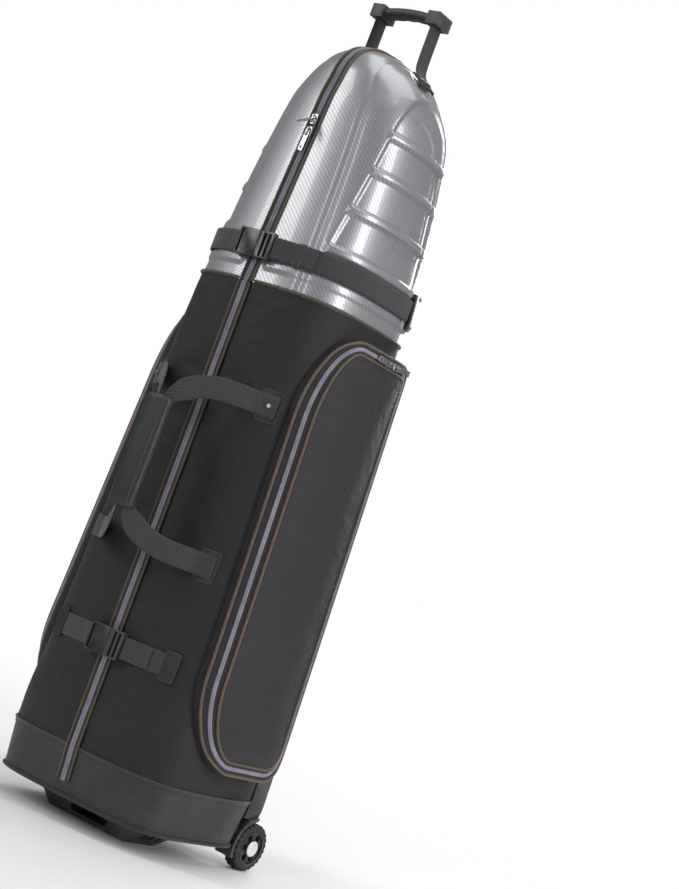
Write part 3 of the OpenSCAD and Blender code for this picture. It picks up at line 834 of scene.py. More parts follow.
@dataclass(frozen=True)
class Thread:
    """Ribbed yarn: piping, zip tape and sewing thread."""

    name: str
    tone: tuple
    rib: float = 1.1
    rough: float = 0.5
    metallic: float = 0.0

    def make(self) -> bpy.types.Material:
        """Builds the material."""
        p = Paint(self.name, Metallic=self.metallic, Sheen_Weight=0.15, Specular_IOR_Level=0.45)
        turn = 2 * math.pi / (self.rib * MM)
        along, across = p.weave((turn, turn * 0.6))
        wave = p.math("SINE", p.math("ADD", along, across))
        ribs = p.span(wave, -1, 1, 0, 1)
        colour = p.blend(ribs, shade(self.tone, 0.55), self.tone)
        colour = p.blend(p.span(p.noise(55), 0.4, 0.7, 0, 0.35), colour,
                         shade(self.tone, 0.45))
        rough = p.math("ADD", self.rough, p.span(p.noise(1800), 0, 1, -0.08, 0.12))
        return p.finish(colour, rough, ribs, 0.0002, 0.5)


@dataclass(frozen=True)
class Moulded:
    """Moulded plastic or rubber with a fine spark grain."""

    name: str
    tone: tuple
    rough: float = 0.38
    grain: float = 2200.0
    depth: float = 0.00008
    dust: float = 0.35
    coat: float = 0.0

    def make(self) -> bpy.types.Material:
        """Builds the material."""
        p = Paint(self.name, Coat_Weight=self.coat, Coat_Roughness=0.12, Specular_IOR_Level=0.5)
        fine = p.noise(self.grain, 3, 0.6)
        broad = p.noise(34, 4, 0.65)
        colour = p.blend(p.span(broad, 0.35, 0.72, 0, 1), self.tone,
                         shade(self.tone, 1.7, 0.006))
        colour = p.blend(p.math("MULTIPLY", p.wear(), self.dust), colour,
                         shade(self.tone, 1, 0.16))
        rough = p.math("ADD", self.rough, p.span(broad, 0.3, 0.7, -0.06, 0.12))
        return p.finish(colour, rough, fine, self.depth, 0.5)


@dataclass(frozen=True)
class Steel:
    """Plated or brushed metal with faint scratches."""

    name: str
    tone: tuple
    rough: float = 0.2

    def make(self) -> bpy.types.Material:
        """Builds the material."""
        p = Paint(self.name, Metallic=1.0)
        stretch = p.node("ShaderNodeMapping", {"Vector": p.place(), "Scale": (900, 900, 60)})
        brush = p.noise(1.0, 4, 0.7, stretch.outputs[0])
        colour = p.blend(p.span(brush, 0.3, 0.7, 0, 0.4), self.tone,
                         shade(self.tone, 0.6))
        rough = p.math("ADD", self.rough, p.span(brush, 0.3, 0.7, -0.05, 0.12))
        return p.finish(colour, rough, brush, 0.00004, 0.3)


class Finishes:
    """Every finish of the case, made once."""

    def __init__(self) -> None:
        """Makes the materials."""
        self.body = DottedCloth("dotted_body_cloth", (0.005, 0.005, 0.006),
                                (0.030, 0.030, 0.034), 4.4).make()
        self.pocket = DottedCloth("embossed_pocket_cloth", (0.006, 0.006, 0.007),
                                  (0.058, 0.058, 0.064), 5.2, 0.0009, 0.42).make()
        self.gusset = DottedCloth("gusset_cloth", (0.004, 0.004, 0.005),
                                  (0.014, 0.014, 0.016), 3.2).make()
        self.shell = TwillShell().make()
        self.band = Coated("coated_base_band", (0.024, 0.021, 0.026)).make()
        self.leather = Coated("stitched_leatherette", (0.020, 0.021, 0.023), 1500, 0.0003,
                              0.48, 0.05).make()
        self.patch = Coated("black_patch", (0.016, 0.016, 0.018), 1700, 0.0002, 0.5, 0.0).make()
        self.webbing = Webbing("grey_webbing", (0.060, 0.060, 0.066)).make()
        self.piping = Thread("bronze_piping", (0.155, 0.105, 0.070), 1.2, 0.42, 0.25).make()
        self.black_piping = Thread("black_piping", (0.012, 0.012, 0.013), 1.4, 0.5).make()
        self.tape = Thread("black_zip_tape", (0.020, 0.020, 0.023), 0.9, 0.66).make()
        self.coil = Moulded("lavender_zip_coil", (0.17, 0.16, 0.205), 0.34, 3000, 0.00003,
                            0.1).make()
        self.thread = Thread("sewing_thread", (0.055, 0.055, 0.060), 0.8, 0.6).make()
        self.cuff_thread = Thread("grey_cuff_thread", (0.13, 0.13, 0.135), 0.8, 0.6).make()
        self.buckle = Moulded("black_buckle", (0.010, 0.010, 0.011), 0.27, 1800, 0.00005,
                              0.25).make()
        self.moulded = Moulded("black_base_moulding", (0.017, 0.017, 0.019), 0.42).make()
        self.rubber = Moulded("wheel_rubber", (0.010, 0.010, 0.010), 0.72, 1400, 0.0002,
                              0.15).make()
        self.hub = Moulded("hub_moulding", (0.013, 0.013, 0.014), 0.36).make()
        self.cap = Moulded("silver_white_cap", (0.66, 0.67, 0.69), 0.26, 2500, 0.00002, 0.0,
                           0.5).make()
        self.grip = Moulded("grip_moulding", (0.020, 0.020, 0.022), 0.48, 1500, 0.00015).make()
        self.steel = Steel("plated_pull", (0.46, 0.46, 0.49), 0.24).make()
        self.rivet = Steel("brushed_rivet", (0.42, 0.42, 0.44), 0.3).make()


# ------------------------------------------------------------------ hard top


@dataclass
class HardTop:
    """One half of the two-part moulded hard top."""

    side: Side
    finishes: Finishes
    columns: int = 150
    rows: int = 190
    wall: float = 2.2
    recess: float = 6.0
    rib_height: float = 8.0
    ribs: tuple = ((283, 296), (219, 232), (148, 162), (78, 93))
    foot_rib: tuple = (25, 40)
    arch: tuple = ((-124, 60), (-124, 88), (-113, 148), (-98, 220), (-81, 297), (-73, 321),
                   (-62, 340), (-42, 362), (-18, 374), (4, 376), (26, 371), (47, 351),
                   (62, 329), (73, 297), (93, 220), (107, 148), (122, 88), (124, 60))
    hook: tuple = ((-30, 334), (-13, 334), (13, 320), (32, 296), (41, 280), (53, 257),
                   (56, 233), (62, 216), (71, 162), (71, 145), (66, 135), (36, 133), (-6, 135))

    def base(self) -> tuple:
        """The smooth form of one half: points, and the distance run each way."""
        line = top_meridian(self.rows * 4)
        keep = line[line[:, 1] >= SIZE.seam_x + 0.02]
        keep = resample(keep, self.rows)
        power = np.interp(keep[:, 0], TOP_ROWS[:, 0], TOP_ROWS[:, 3])
        rows, runs = [], []
        for (h, a, b, *_), n in zip(keep, power):
            share = min(SIZE.seam_x / a, 1.0)
            start = math.atan2(SIZE.seam_x, b * (1 - share ** n) ** (1 / n))
            phi = np.linspace(start, math.pi - start, 90)
            r = reach(np.sin(phi), np.cos(phi), a, b, n)
            ring = np.stack([r * np.sin(phi), -r * np.cos(phi), np.full(90, h)], axis=1)
            even = resample(ring, self.columns)
            rows.append(even)
            runs.append(lengths(even) - lengths(even)[-1] / 2)
        points = np.stack(rows, axis=1)
        along = np.stack(runs, axis=1)
        up = lengths(keep[:, :3])
        return points, along, np.broadcast_to(up, along.shape)

    def relief(self, points: Points) -> Points:
        """How far each point stands off the smooth form: ribs, recess, grooves and dimple."""
        x, y, h = (points[..., k].ravel() for k in range(3))
        flat = np.stack([y, h], axis=1)
        line = top_meridian(200)
        outline = np.concatenate([np.stack([-line[:, 2], line[:, 0]], axis=1),
                                  np.stack([line[::-1, 2], line[::-1, 0]], axis=1)])
        edge = line_distance(flat, outline)
        out = -1.4 * smoothstep((edge - 9) / 4) - 1.5 * np.exp(-(((edge - 12) / 2.6) ** 2))
        arch = spline(list(self.arch), 160)
        depth = line_distance(flat, looped(arch))
        depth = np.where(inside(flat, arch), depth, -depth)
        in_arch = smoothstep((depth + 1.0) / 7.0)
        fade = smoothstep((h - 58) / 14)
        out -= self.recess * in_arch * fade
        for low, high in self.ribs:
            bar = smoothstep((h - low + 2.5) / 5) * smoothstep((high + 2.5 - h) / 5)
            out += self.rib_height * bar * smoothstep((depth + 3.0) / 9.0)
        groove = line_distance(flat, spline(list(self.hook), 120))
        out -= 2.2 * np.exp(-((groove / 3.0) ** 2))
        low, high = self.foot_rib
        foot = smoothstep((h - low + 2) / 5) * smoothstep((high + 2 - h) / 5)
        out += 2.6 * foot * smoothstep((x - SIZE.seam_x - 6) / 8)
        box = np.maximum(np.abs(y - 92) - 10, np.abs(h - 58) - 26)
        out += 3.4 * np.exp(-(((box - 5) / 3.4) ** 2)) * smoothstep((x - 60) / 30)
        patch = np.hypot((x - 75) / 21, y / 27)
        out -= 2.0 * smoothstep((1.25 - patch) / 0.35) * smoothstep((h - 350) / 20)
        return out.reshape(points.shape[:2])

    def shell(self) -> bpy.types.Object:
        """The moulded half with its ribs."""
        points, along, up = self.base()
        normal = unit(np.cross(np.gradient(points, axis=0), np.gradient(points, axis=1)))
        normal *= np.sign((normal * (points - [0, 0, 120])).sum(axis=-1).mean())
        points = points + normal * self.relief(points)[..., None]
        points[..., 2] += SIZE.shell_z
        points = self.side.mirror(points)
        obj = Kit.sheet(f"moulded_shell_{self.side.word}", points, np.stack([along, up], axis=-1),
                        flip=self.side is Side.LEFT)
        Kit.thicken(obj, self.wall, 60)
        return obj

    def arch_path(self, count: int) -> tuple:
        """The opening's line: up the front, over the crown and down the back."""
        line = top_meridian(400)
        front = np.stack([np.zeros(400), -line[:, 2], line[:, 0]], axis=1)
        back = front[::-1] * [1, -1, 1]
        path = np.vstack([front[:-1], back[back[:, 2] > 352]])
        path = resample(path, count) + [0, 0, SIZE.shell_z]
        tangent = heading(path)
        lift = np.stack([np.zeros(count), -tangent[:, 2], tangent[:, 1]], axis=1)
        return path, lift

    def rim_path(self, out: float, h: float, count: int = 160) -> Points:
        """A line round this half at one height, from the front seam to the back seam."""
        z = SIZE.shell_z + h
        start = float(TOP.phi_at_x(SIZE.seam_x + 1, z, out))
        phi = np.linspace(start, math.pi - start, count)
        return resample(self.side.mirror(TOP.point(phi, z, out)), count)

    def build(self) -> None:
        """Makes and dresses the shell and its trim."""
        f, word, body = self.finishes, self.side.word, self.side.top
        Kit.dress(self.shell(), f.shell, "shell", body, f"shell_{word}")
        Kit.dress(Kit.tube(f"shell_hem_{word}", self.rim_path(1.4, 2.6), 2.3), f.piping,
                  "piping", body, f"shell_trim_{word}")
        zip_maker = MainZip(f)
        path, lift = self.arch_path(1240)
        zip_maker.half(self.side, "top", path, lift, body, f"top_zip_teeth_{word}")


@dataclass
class MainZip:
    """The main zip: tape, bronze piping and coil on each side of the opening."""

    finishes: Finishes
    tooth: float = 2.6
    coil_mid: float = 2.42
    coil_half: float = 2.26
    tape_in: float = 4.5
    tape_out: float = 12.0
    piping_x: float = 11.6
    piping_r: float = 1.9

    def coil_section(self, path: Points) -> Points:
        """The coil's cross-section along the path, swelling at each tooth."""
        w = self.coil_half
        base = np.array([(-w, -0.6), (-w, 0.5), (-w * 0.7, 1.5), (0, 1.9), (w * 0.7, 1.5),
                         (w, 0.5), (w, -0.6)])
        ring = np.broadcast_to(base, (len(path),) + base.shape).copy()
        swell = 1 + 0.22 * np.sin(2 * np.pi * lengths(path) / self.tooth)
        ring[..., 1] *= swell[:, None]
        return ring

    def half(self, side: Side, place: str, path: Points, lift: Points, body: str | None,
             *nodes: str) -> list:
        """Makes one side of the zip along a path.

        Args:
            side: which side of the middle.
            place: a word for the pieces' names.
            path: the middle line of the zip.
            lift: outward directions along it.
            body: the body it rides on, or None to leave it unattached.
            nodes: the frame parts that the coil stands for.

        Returns:
            The pieces made.
        """
        f, word = self.finishes, side.word
        across = np.broadcast_to([float(side.value), 0, 0], path.shape)
        coil = Kit.sweep(f"{place}_zip_coil_{word}", path + across * self.coil_mid + lift * 0.8,
                         across, lift, self.coil_section(path), angle=70)
        Kit.dress(coil, f.coil, "zip_teeth", body, *nodes)
        few = slice(None, None, 8)
        mid, wide = (self.tape_in + self.tape_out) / 2, self.tape_out - self.tape_in
        tape = Kit.sweep(f"{place}_zip_tape_{word}", (path + across * mid + lift * 0.5)[few],
                         across[few], lift[few], Kit.flat_section(wide, 1.5), angle=40)
        Kit.dress(tape, f.tape, "black_trim", body)
        cord = Kit.tube(f"{place}_zip_piping_{word}",
                        (path + across * self.piping_x + lift * 1.1)[few], self.piping_r)
        Kit.dress(cord, f.piping, "piping", body)
        line = (path + across * (self.piping_x - 3.1) + lift * 1.3)[few]
        sewing = Kit.stitches(f"{place}_zip_stitches_{word}", [line], 3.6, 2.6, 0.3)
        Kit.dress(sewing, f.thread, "black_trim", body)
        return [coil, tape, cord, sewing]

    def body_path(self, count: int = 1250) -> tuple:
        """The zip's line on the soft body, from the base band up."""
        corners = [(0, -139.0, 58), (0, -142.2, 86), (0, -145.4, 114), (0, -146.0, 180),
                   (0, -149, 500), (0, -152, 868.4)]
        path = resample(np.array(corners, float), count * 2)
        path = resample(spline(path[::60].tolist() + [path[-1].tolist()], count), count)
        tangent = heading(path)
        lift = np.stack([np.zeros(count), -tangent[:, 2], tangent[:, 1]], axis=1)
        return path + lift * 1.2, lift

    def build_body(self) -> None:
        """Makes the zip on the soft body and bakes its place into its meshes."""
        path, lift = self.body_path()
        for side in Side:
            pieces = self.half(side, "body", path, lift, None)
            for piece in pieces:
                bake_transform(piece)
            if side is Side.LEFT:
                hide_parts("body_zip_teeth")
                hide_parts("body_zip_tapes")

    def build_pulls(self) -> None:
        """Dresses the two sliders and their pulls."""
        f = self.finishes
        for word in ("upper", "lower"):
            Kit.dress(Kit.softened(f"{word}_slider", f"{word}_zip_slider", 0.9, 3),
                      f.steel, "steel", f"slider_{word}")
            Kit.dress(Kit.softened(f"{word}_pull", f"{word}_zip_pull", 0.6, 3),
                      f.steel, "steel", f"pull_{word}")


# ------------------------------------------------------------------ soft body


@dataclass
class SoftBody:
    """The padded cloth walls and the coated base band."""

    finishes: Finishes
    wall: float = 6.4
    rows: int = 150
    crown: float = 2.4
    swell: float = 2.0

    def ease(self, phi: Points, z: Points) -> Points:
        """The soft body's fullness and small folds, off the plain form."""
        front = BODY.phi_at_x(SIZE.seam_x, z)
        pocket = BODY.phi_at_y(-SIZE.pocket_front, z)
        rear = BODY.phi_at_y(SIZE.pocket_back, z)
        share = np.clip((np.abs(phi) - front) / (pocket - front), 0, 1)
        puff = np.sin(np.pi * share) * self.crown
        behind = np.clip((np.abs(phi) - rear) / (np.pi - rear), 0, 1)
        puff += np.sin(np.pi * behind) * self.crown
        ends = smoothstep((z - SIZE.band_z) / 40) * smoothstep((SIZE.shell_z - z) / 30)
        sag = 1.6 * np.exp(-(((z - 165) / 45) ** 2))
        folds = (0.5 * np.sin(z / 31 + 2.1 * phi) * np.sin(phi * 5 + z / 90)
                 + 0.35 * np.sin(z / 13 + phi * 4 + 1.3) * np.sin(z / 140 + phi * 2))
        near = np.exp(-(((z - SIZE.low_strap_z) / 17) ** 2)) * smoothstep((1.0 - np.abs(phi)) / 0.3)
        folds -= 1.6 * near
        for sign in (-1, 1):
            level = SIZE.carry_z + sign * SIZE.carry_span / 2
            pull = np.exp(-(((z - level) / 30) ** 2)) * np.exp(
                -(((np.abs(phi) - 0.68) / 0.16) ** 2))
            folds += 1.2 * pull
        return (puff + sag + folds) * ends

    def panel(self, name: str, start: Callable, end: Callable, columns: int,
              side: Side, swell: float = 0.0) -> bpy.types.Object:
        """A wall of cloth between two edges.

        Args:
            name: the piece's name.
            start: the first edge's angle at each height.
            end: the second edge's angle at each height.
            columns: how many points lie across the wall.
            side: which side of the body it is on.
            swell: the furthest that its filling may push it out, or 0 for none.

        Returns:
            The padded wall.
        """
        z = np.linspace(SIZE.band_z + 0.3, SIZE.shell_z - 0.3, self.rows)
        share = np.linspace(0, 1, columns)[:, None]
        phi = start(z) * (1 - share) + end(z) * share
        zz = np.broadcast_to(z, phi.shape)
        points = BODY.point(phi, zz, 0.0)
        normal = unit(np.cross(np.gradient(points, axis=0), np.gradient(points, axis=1)))
        points = points + normal * self.ease(phi, zz)[..., None]
        run = runs_across(points)
        uv = np.stack([run, zz], axis=-1)
        obj = Kit.sheet(name, side.mirror(points), uv, flip=side is Side.LEFT)
        if swell:
            Kit.inflate(obj, Kit.rim(obj), 2.0, swell, 0.003)
        Kit.thicken(obj, self.wall)
        return obj

    def build_walls(self) -> None:
        """Makes the front, side and back walls."""
        f = self.finishes

        def at_x(x: float, back: bool = False) -> Callable:
            """An edge at one x, at the front or at the back."""
            def edge(z: Points) -> Points:
                """The edge's angle at each height."""
                phi = BODY.phi_at_x(x, z)
                return np.pi - phi if back else phi
            return edge

        split = SIZE.split_x
        for side in Side:
            front = self.panel(f"front_wall_{side.word}", at_x(SIZE.seam_x), at_x(split), 44, side,
                               self.swell)
            flank = self.panel(f"side_wall_{side.word}", at_x(split + 0.1),
                               at_x(split + 0.1, True), 90, side)
            back = self.panel(f"back_wall_{side.word}", at_x(split, True), at_x(0.15, True), 44,
                              side, self.swell)
            Kit.dress(front, f.body, "body_fabric")
            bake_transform(front)
            for wall in (flank, back):
                Kit.dress(wall, f.body, "body_fabric")
                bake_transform(wall)
            if side is Side.LEFT:
                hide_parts("front_panels")
                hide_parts("side_panels")
                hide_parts("back_panel")

    def ring(self, z: float, out: float, count: int = 260) -> Points:
        """A level line right round the body."""
        phi = np.linspace(-np.pi, np.pi, count)
        return resample(BODY.point(phi, np.full(count, z), out), count)

    def build_band(self) -> None:
        """Makes the coated band round the base, its lip and the bottom piping."""
        f = self.finishes
        profile = [(34.2, -6), (34.2, 0), (36, 0.8), (44, 1.0), (60, 0.9), (80, 0.6), (98, 0.6),
                   (106, 1.0), (110, 2.2), (112.5, 2.6), (114.2, 2.0), (114.6, 0.4), (114.2, -2)]
        line = spline(profile[1:], 34)
        line = np.vstack([profile[0], line])
        phi = np.linspace(-np.pi, np.pi, 241)
        points = np.stack([BODY.point(phi, np.full(241, z), out) for z, out in line], axis=1)
        ripple = 0.5 * np.sin(phi * 7 + 0.6)[:, None] * smoothstep((points[..., 2] - 40) / 20)
        points[..., :2] *= 1 + (ripple / 160)[..., None] * smoothstep(
            (106 - points[..., 2]) / 20)[..., None]
        run = runs_across(points)
        uv = np.stack([run, points[..., 2]], axis=-1)
        band = Kit.sheet("base_band_cover", points, uv)
        Kit.thicken(band, 3.0)
        Kit.dress(band, f.band, "band_leather", "root", "base_band")
        hem = Kit.tube("bottom_piping_cord", self.ring(38.2, 1.8)[:-1], 3.1, closed=True)
        Kit.dress(hem, f.black_piping, "black_trim", "root", "bottom_piping")
        rows = [self.ring(105, 1.5), self.ring(45.5, 1.4)]
        sewing = Kit.stitches("base_band_stitches", rows, 4.2, 3.0, 0.36)
        Kit.dress(sewing, f.thread, "black_trim", "root")
        strip = np.array([(0, TOP.at(SIZE.shell_z + h)[1] + 0.2, SIZE.shell_z + h)
                          for h in np.linspace(0.5, 345, 60)], float)
        tangent = heading(strip)
        lift = np.stack([np.zeros(60), tangent[:, 2], -tangent[:, 1]], axis=1)
        across = np.broadcast_to([-1.0, 0, 0], strip.shape)
        hinge = Kit.sweep("back_hinge_cloth", strip, across, lift, Kit.flat_section(24.2, 1.8),
                          angle=40)
        Kit.dress(hinge, f.gusset, "body_fabric", "root", "back_hinge_strip")


# ------------------------------------------------------------------ side pockets


@dataclass
class SidePocket:
    """A zipped pocket on one side of the body."""

    side: Side
    finishes: Finishes
    back_high: tuple = (34.0, 34.0)
    back_low: tuple = (58.0, 58.0)
    front_low: tuple = (90.0, 130.0)
    front_high: tuple = (80.0, 150.0)
    crown: float = 5.0
    bevel: float = 14.0
    bevel_from: float = -35.0
    bevel_run: float = 50.0
    face_inset: float = 20.4
    lid_columns: int = 58
    lid_rows: int = 190
    lid_wall: float = 4.5
    seams: tuple = ((5.3, 0.6), (17.5, 0.5))

    def surface(self, y: Points, z: Points, out: Points) -> Points:
        """Points on the side of the body grown by out."""
        return BODY.point(BODY.phi_at_y(y, z, out), z, out)

    def normal(self, y: Points, z: Points, out: Points) -> Points:
        """Outward directions at those points."""
        step = 0.5
        dy = self.surface(y + step, z, out) - self.surface(y - step, z, out)
        dz = self.surface(y, z + step, out) - self.surface(y, z - step, out)
        return unit(np.cross(dy, dz))

    def outline(self, inset: float) -> Points:
        """The rounded outline in depth and height, set in from the edge."""
        y0, y1 = inset - SIZE.pocket_front, SIZE.pocket_back - inset
        z0, z1 = SIZE.pocket_low + inset, SIZE.pocket_high - inset
        arcs = []
        for size, y, y_in, z, z_in, start in (
                (self.back_high, y1, -1, z1, -1, 90), (self.back_low, y1, -1, z0, 1, 0),
                (self.front_low, y0, 1, z0, 1, -90), (self.front_high, y0, 1, z1, -1, 180)):
            r = np.array(size) - inset
            turn = np.radians(start) - np.linspace(0, np.pi / 2, 30)
            centre = np.array([y + y_in * r[0], z + z_in * r[1]])
            arcs.append(centre + r * np.stack([np.cos(turn), np.sin(turn)], axis=1))
        parts = []
        for arc, ahead, count in zip(arcs, arcs[1:] + arcs[:1], (90, 16, 70, 20)):
            share = np.linspace(0, 1, count + 2)[1:-1, None]
            parts += [arc, arc[-1] * (1 - share) + ahead[0] * share]
        return np.vstack(parts)

    def loop(self, inset: float, out: float, count: int = 0) -> Points:
        """The outline on the body's side, as a closed line."""
        flat = self.outline(inset)
        if count:
            flat = resample(looped(flat), count + 1)[:-1]
        front = smoothstep((self.bevel_from - flat[:, 0]) / self.bevel_run)
        drop = self.bevel / SIZE.pocket_out * max(1 - inset / self.face_inset, 0) * front
        return self.side.mirror(self.surface(flat[:, 0], flat[:, 1], out * (1 - drop)))

    def strip(self, name: str, rows: list) -> bpy.types.Object:
        """A closed strip through outlines given as inset and out."""
        lines = [self.loop(inset, out) for inset, out in rows]
        points = np.stack([looped(line) for line in lines], axis=1)
        run = runs_across(points)
        rise = np.broadcast_to(lengths(points[0]), run.shape)
        return Kit.sheet(name, points, np.stack([run, rise], axis=-1),
                         flip=self.side is Side.RIGHT)

    def coil(self, name: str) -> bpy.types.Object:
        """The pocket zip's coil, with a swelling for each tooth."""
        count = 2520
        full = SIZE.pocket_out
        path = self.loop(11.5, full + 0.4, count)
        tangent = unit(np.roll(path, -1, axis=0) - np.roll(path, 1, axis=0))
        across = self.loop(13.0, full + 0.4, count) - self.loop(10.0, full + 0.4, count)
        lift = unit(np.cross(tangent, across))
        lift *= np.sign(lift[:, :1] * self.side.value)
        across = unit(np.cross(tangent, lift))
        base = np.array([(-3.3, -0.6), (-3.3, 0.4), (-2.2, 1.4), (-0.5, 1.5), (0, 1.1),
                         (0.5, 1.5), (2.2, 1.4), (3.3, 0.4), (3.3, -0.6)])
        ring = np.broadcast_to(base, (count,) + base.shape).copy()
        ring[..., 1] *= (1 + 0.24 * np.sin(np.arange(count) * np.pi / 2))[:, None]
        return Kit.sweep(name, path, across, lift, ring, closed=True, angle=70)

    def lid(self, name: str) -> bpy.types.Object:
        """The pocket's padded face, crowned, with a faint embossed arch."""
        inset = self.face_inset
        z0, z1 = SIZE.pocket_low + inset, SIZE.pocket_high - inset
        share = np.linspace(0, 1, self.lid_rows)
        z = z0 + (z1 - z0) * (share - 0.8 * np.sin(2 * np.pi * share) / (2 * np.pi))

        def cut(corner: tuple, run: Points) -> Points:
            """How far a corner takes the edge in, at a distance from the end."""
            depth, height = corner[0] - inset, corner[1] - inset
            return depth * (1 - np.sqrt(1 - np.clip(1 - run / height, 0, 1) ** 2))

        ahead = inset - SIZE.pocket_front + cut(self.front_low, z - z0) + cut(
            self.front_high, z1 - z)
        behind = SIZE.pocket_back - inset - cut(self.back_low, z - z0) - cut(
            self.back_high, z1 - z)
        share = np.linspace(0, 1, self.lid_columns)[:, None]
        y = ahead * (1 - share) + behind * share
        zz = np.broadcast_to(z, y.shape)
        flat = np.stack([y.ravel(), zz.ravel()], axis=1)
        rim = self.outline(inset)
        edge = line_distance(flat, looped(rim)).reshape(y.shape)
        crown = self.crown * (1 - (1 - np.clip(edge / 70, 0, 1)) ** 2.2)
        crown += 1.2 * smoothstep(edge / 9)
        arch = spline([(-62, 500), (-60, 640), (-50, 725), (-28, 768), (0, 780), (28, 768),
                       (50, 725), (60, 640), (62, 500)], 90)
        groove = line_distance(flat, arch).reshape(y.shape)
        crown -= 1.0 * np.exp(-((groove / 5.0) ** 2)) * smoothstep((zz - 500) / 120)
        folds = (0.55 * np.sin(zz / 37 + y / 60) * np.sin(y / 33 + zz / 120)
                 + 0.3 * np.sin(zz / 15 + y / 41 + 0.7) * np.sin(zz / 200))
        crown += folds * smoothstep(edge / 30)
        out = SIZE.pocket_out + 0.6
        points = self.surface(y, zz, out) + self.normal(y, zz, out) * crown[..., None]
        run = runs_across(points)
        run = run - run[-1:] / 2
        obj = Kit.sheet(name, self.side.mirror(points), np.stack([run, zz], axis=-1),
                        flip=self.side is Side.LEFT)
        Kit.inflate(obj, Kit.rim(obj), 3.0, 3.0, 0.003)
        Kit.thicken(obj, self.lid_wall)
        return obj

    def build(self) -> None:
        """Makes and dresses the pocket."""
        f, word = self.finishes, self.side.word
        full = SIZE.pocket_out
        wall = self.strip(f"pocket_gusset_{word}", [
            (0.6, -3), (0, 0.5), (-0.5, 6), (-0.8, 11), (-0.4, 17), (0.4, full - 1),
            (1.6, full + 0.3), (3.4, full + 0.3)])
        Kit.thicken(wall, 1.6, 60)
        Kit.dress(wall, f.gusset, "pocket_fabric", "root")
        if self.side is Side.LEFT:
            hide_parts("pocket_trays")
        tape = self.strip(f"pocket_zip_tape_{word}", [
            (2.8, full - 0.2), (4.6, full + 0.3), (8.4, full + 0.1), (14.6, full + 0.1),
            (18.4, full + 0.3), (20.4, full + 0.2)])
        Kit.thicken(tape, 1.4)
        Kit.dress(tape, f.tape, "black_trim", "root")
        coil = self.coil(f"pocket_zip_coil_{word}")
        Kit.dress(coil, f.coil, "zip_teeth", "root")
        if self.side is Side.LEFT:
            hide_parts("pocket_zips")
        outer = Kit.tube(f"pocket_outer_piping_{word}", self.loop(1.8, full + 0.8, 420), 2.5,
                         closed=True)
        Kit.dress(outer, f.piping, "piping", "root")
        inner = Kit.tube(f"pocket_inner_piping_{word}", self.loop(20.2, full + 1.0, 400), 2.3,
                         closed=True)
        Kit.dress(inner, f.piping, "piping", f"lid_{word}")
        lines = [looped(self.loop(inset, full + rise, 300)) for inset, rise in self.seams]
        sewing = Kit.stitches(f"pocket_zip_stitches_{word}", lines, 4.0, 2.9, 0.32)
        Kit.dress(sewing, f.thread, "black_trim", "root")
        lid = self.lid(f"pocket_face_{word}")
        Kit.dress(lid, f.pocket, "pocket_fabric", f"lid_{word}", f"pocket_lid_{word}")
        hem = looped(self.loop(24.6, full + 2.2, 300))
        rim = Kit.stitches(f"pocket_face_stitches_{word}", [hem], 4.4, 3.2, 0.36)
        Kit.dress(rim, f.thread, "black_trim", f"lid_{word}")
        names = {Side.LEFT: ("left",), Side.RIGHT: ("front", "rear")}[self.side]
        for name in names:
            metal = f.steel if self.side is Side.RIGHT else f.buckle
            Kit.dress(Kit.softened(f"pocket_slider_{name}", f"pocket_zip_slider_{name}", 0.9, 3),
                      metal, "steel", f"zip_{name}")
            Kit.dress(Kit.softened(f"pocket_pull_{name}", f"pocket_zip_pull_{name}", 0.6, 3),
                      metal, "steel", f"tab_{name}")


# ------------------------------------------------------------------ straps and handles


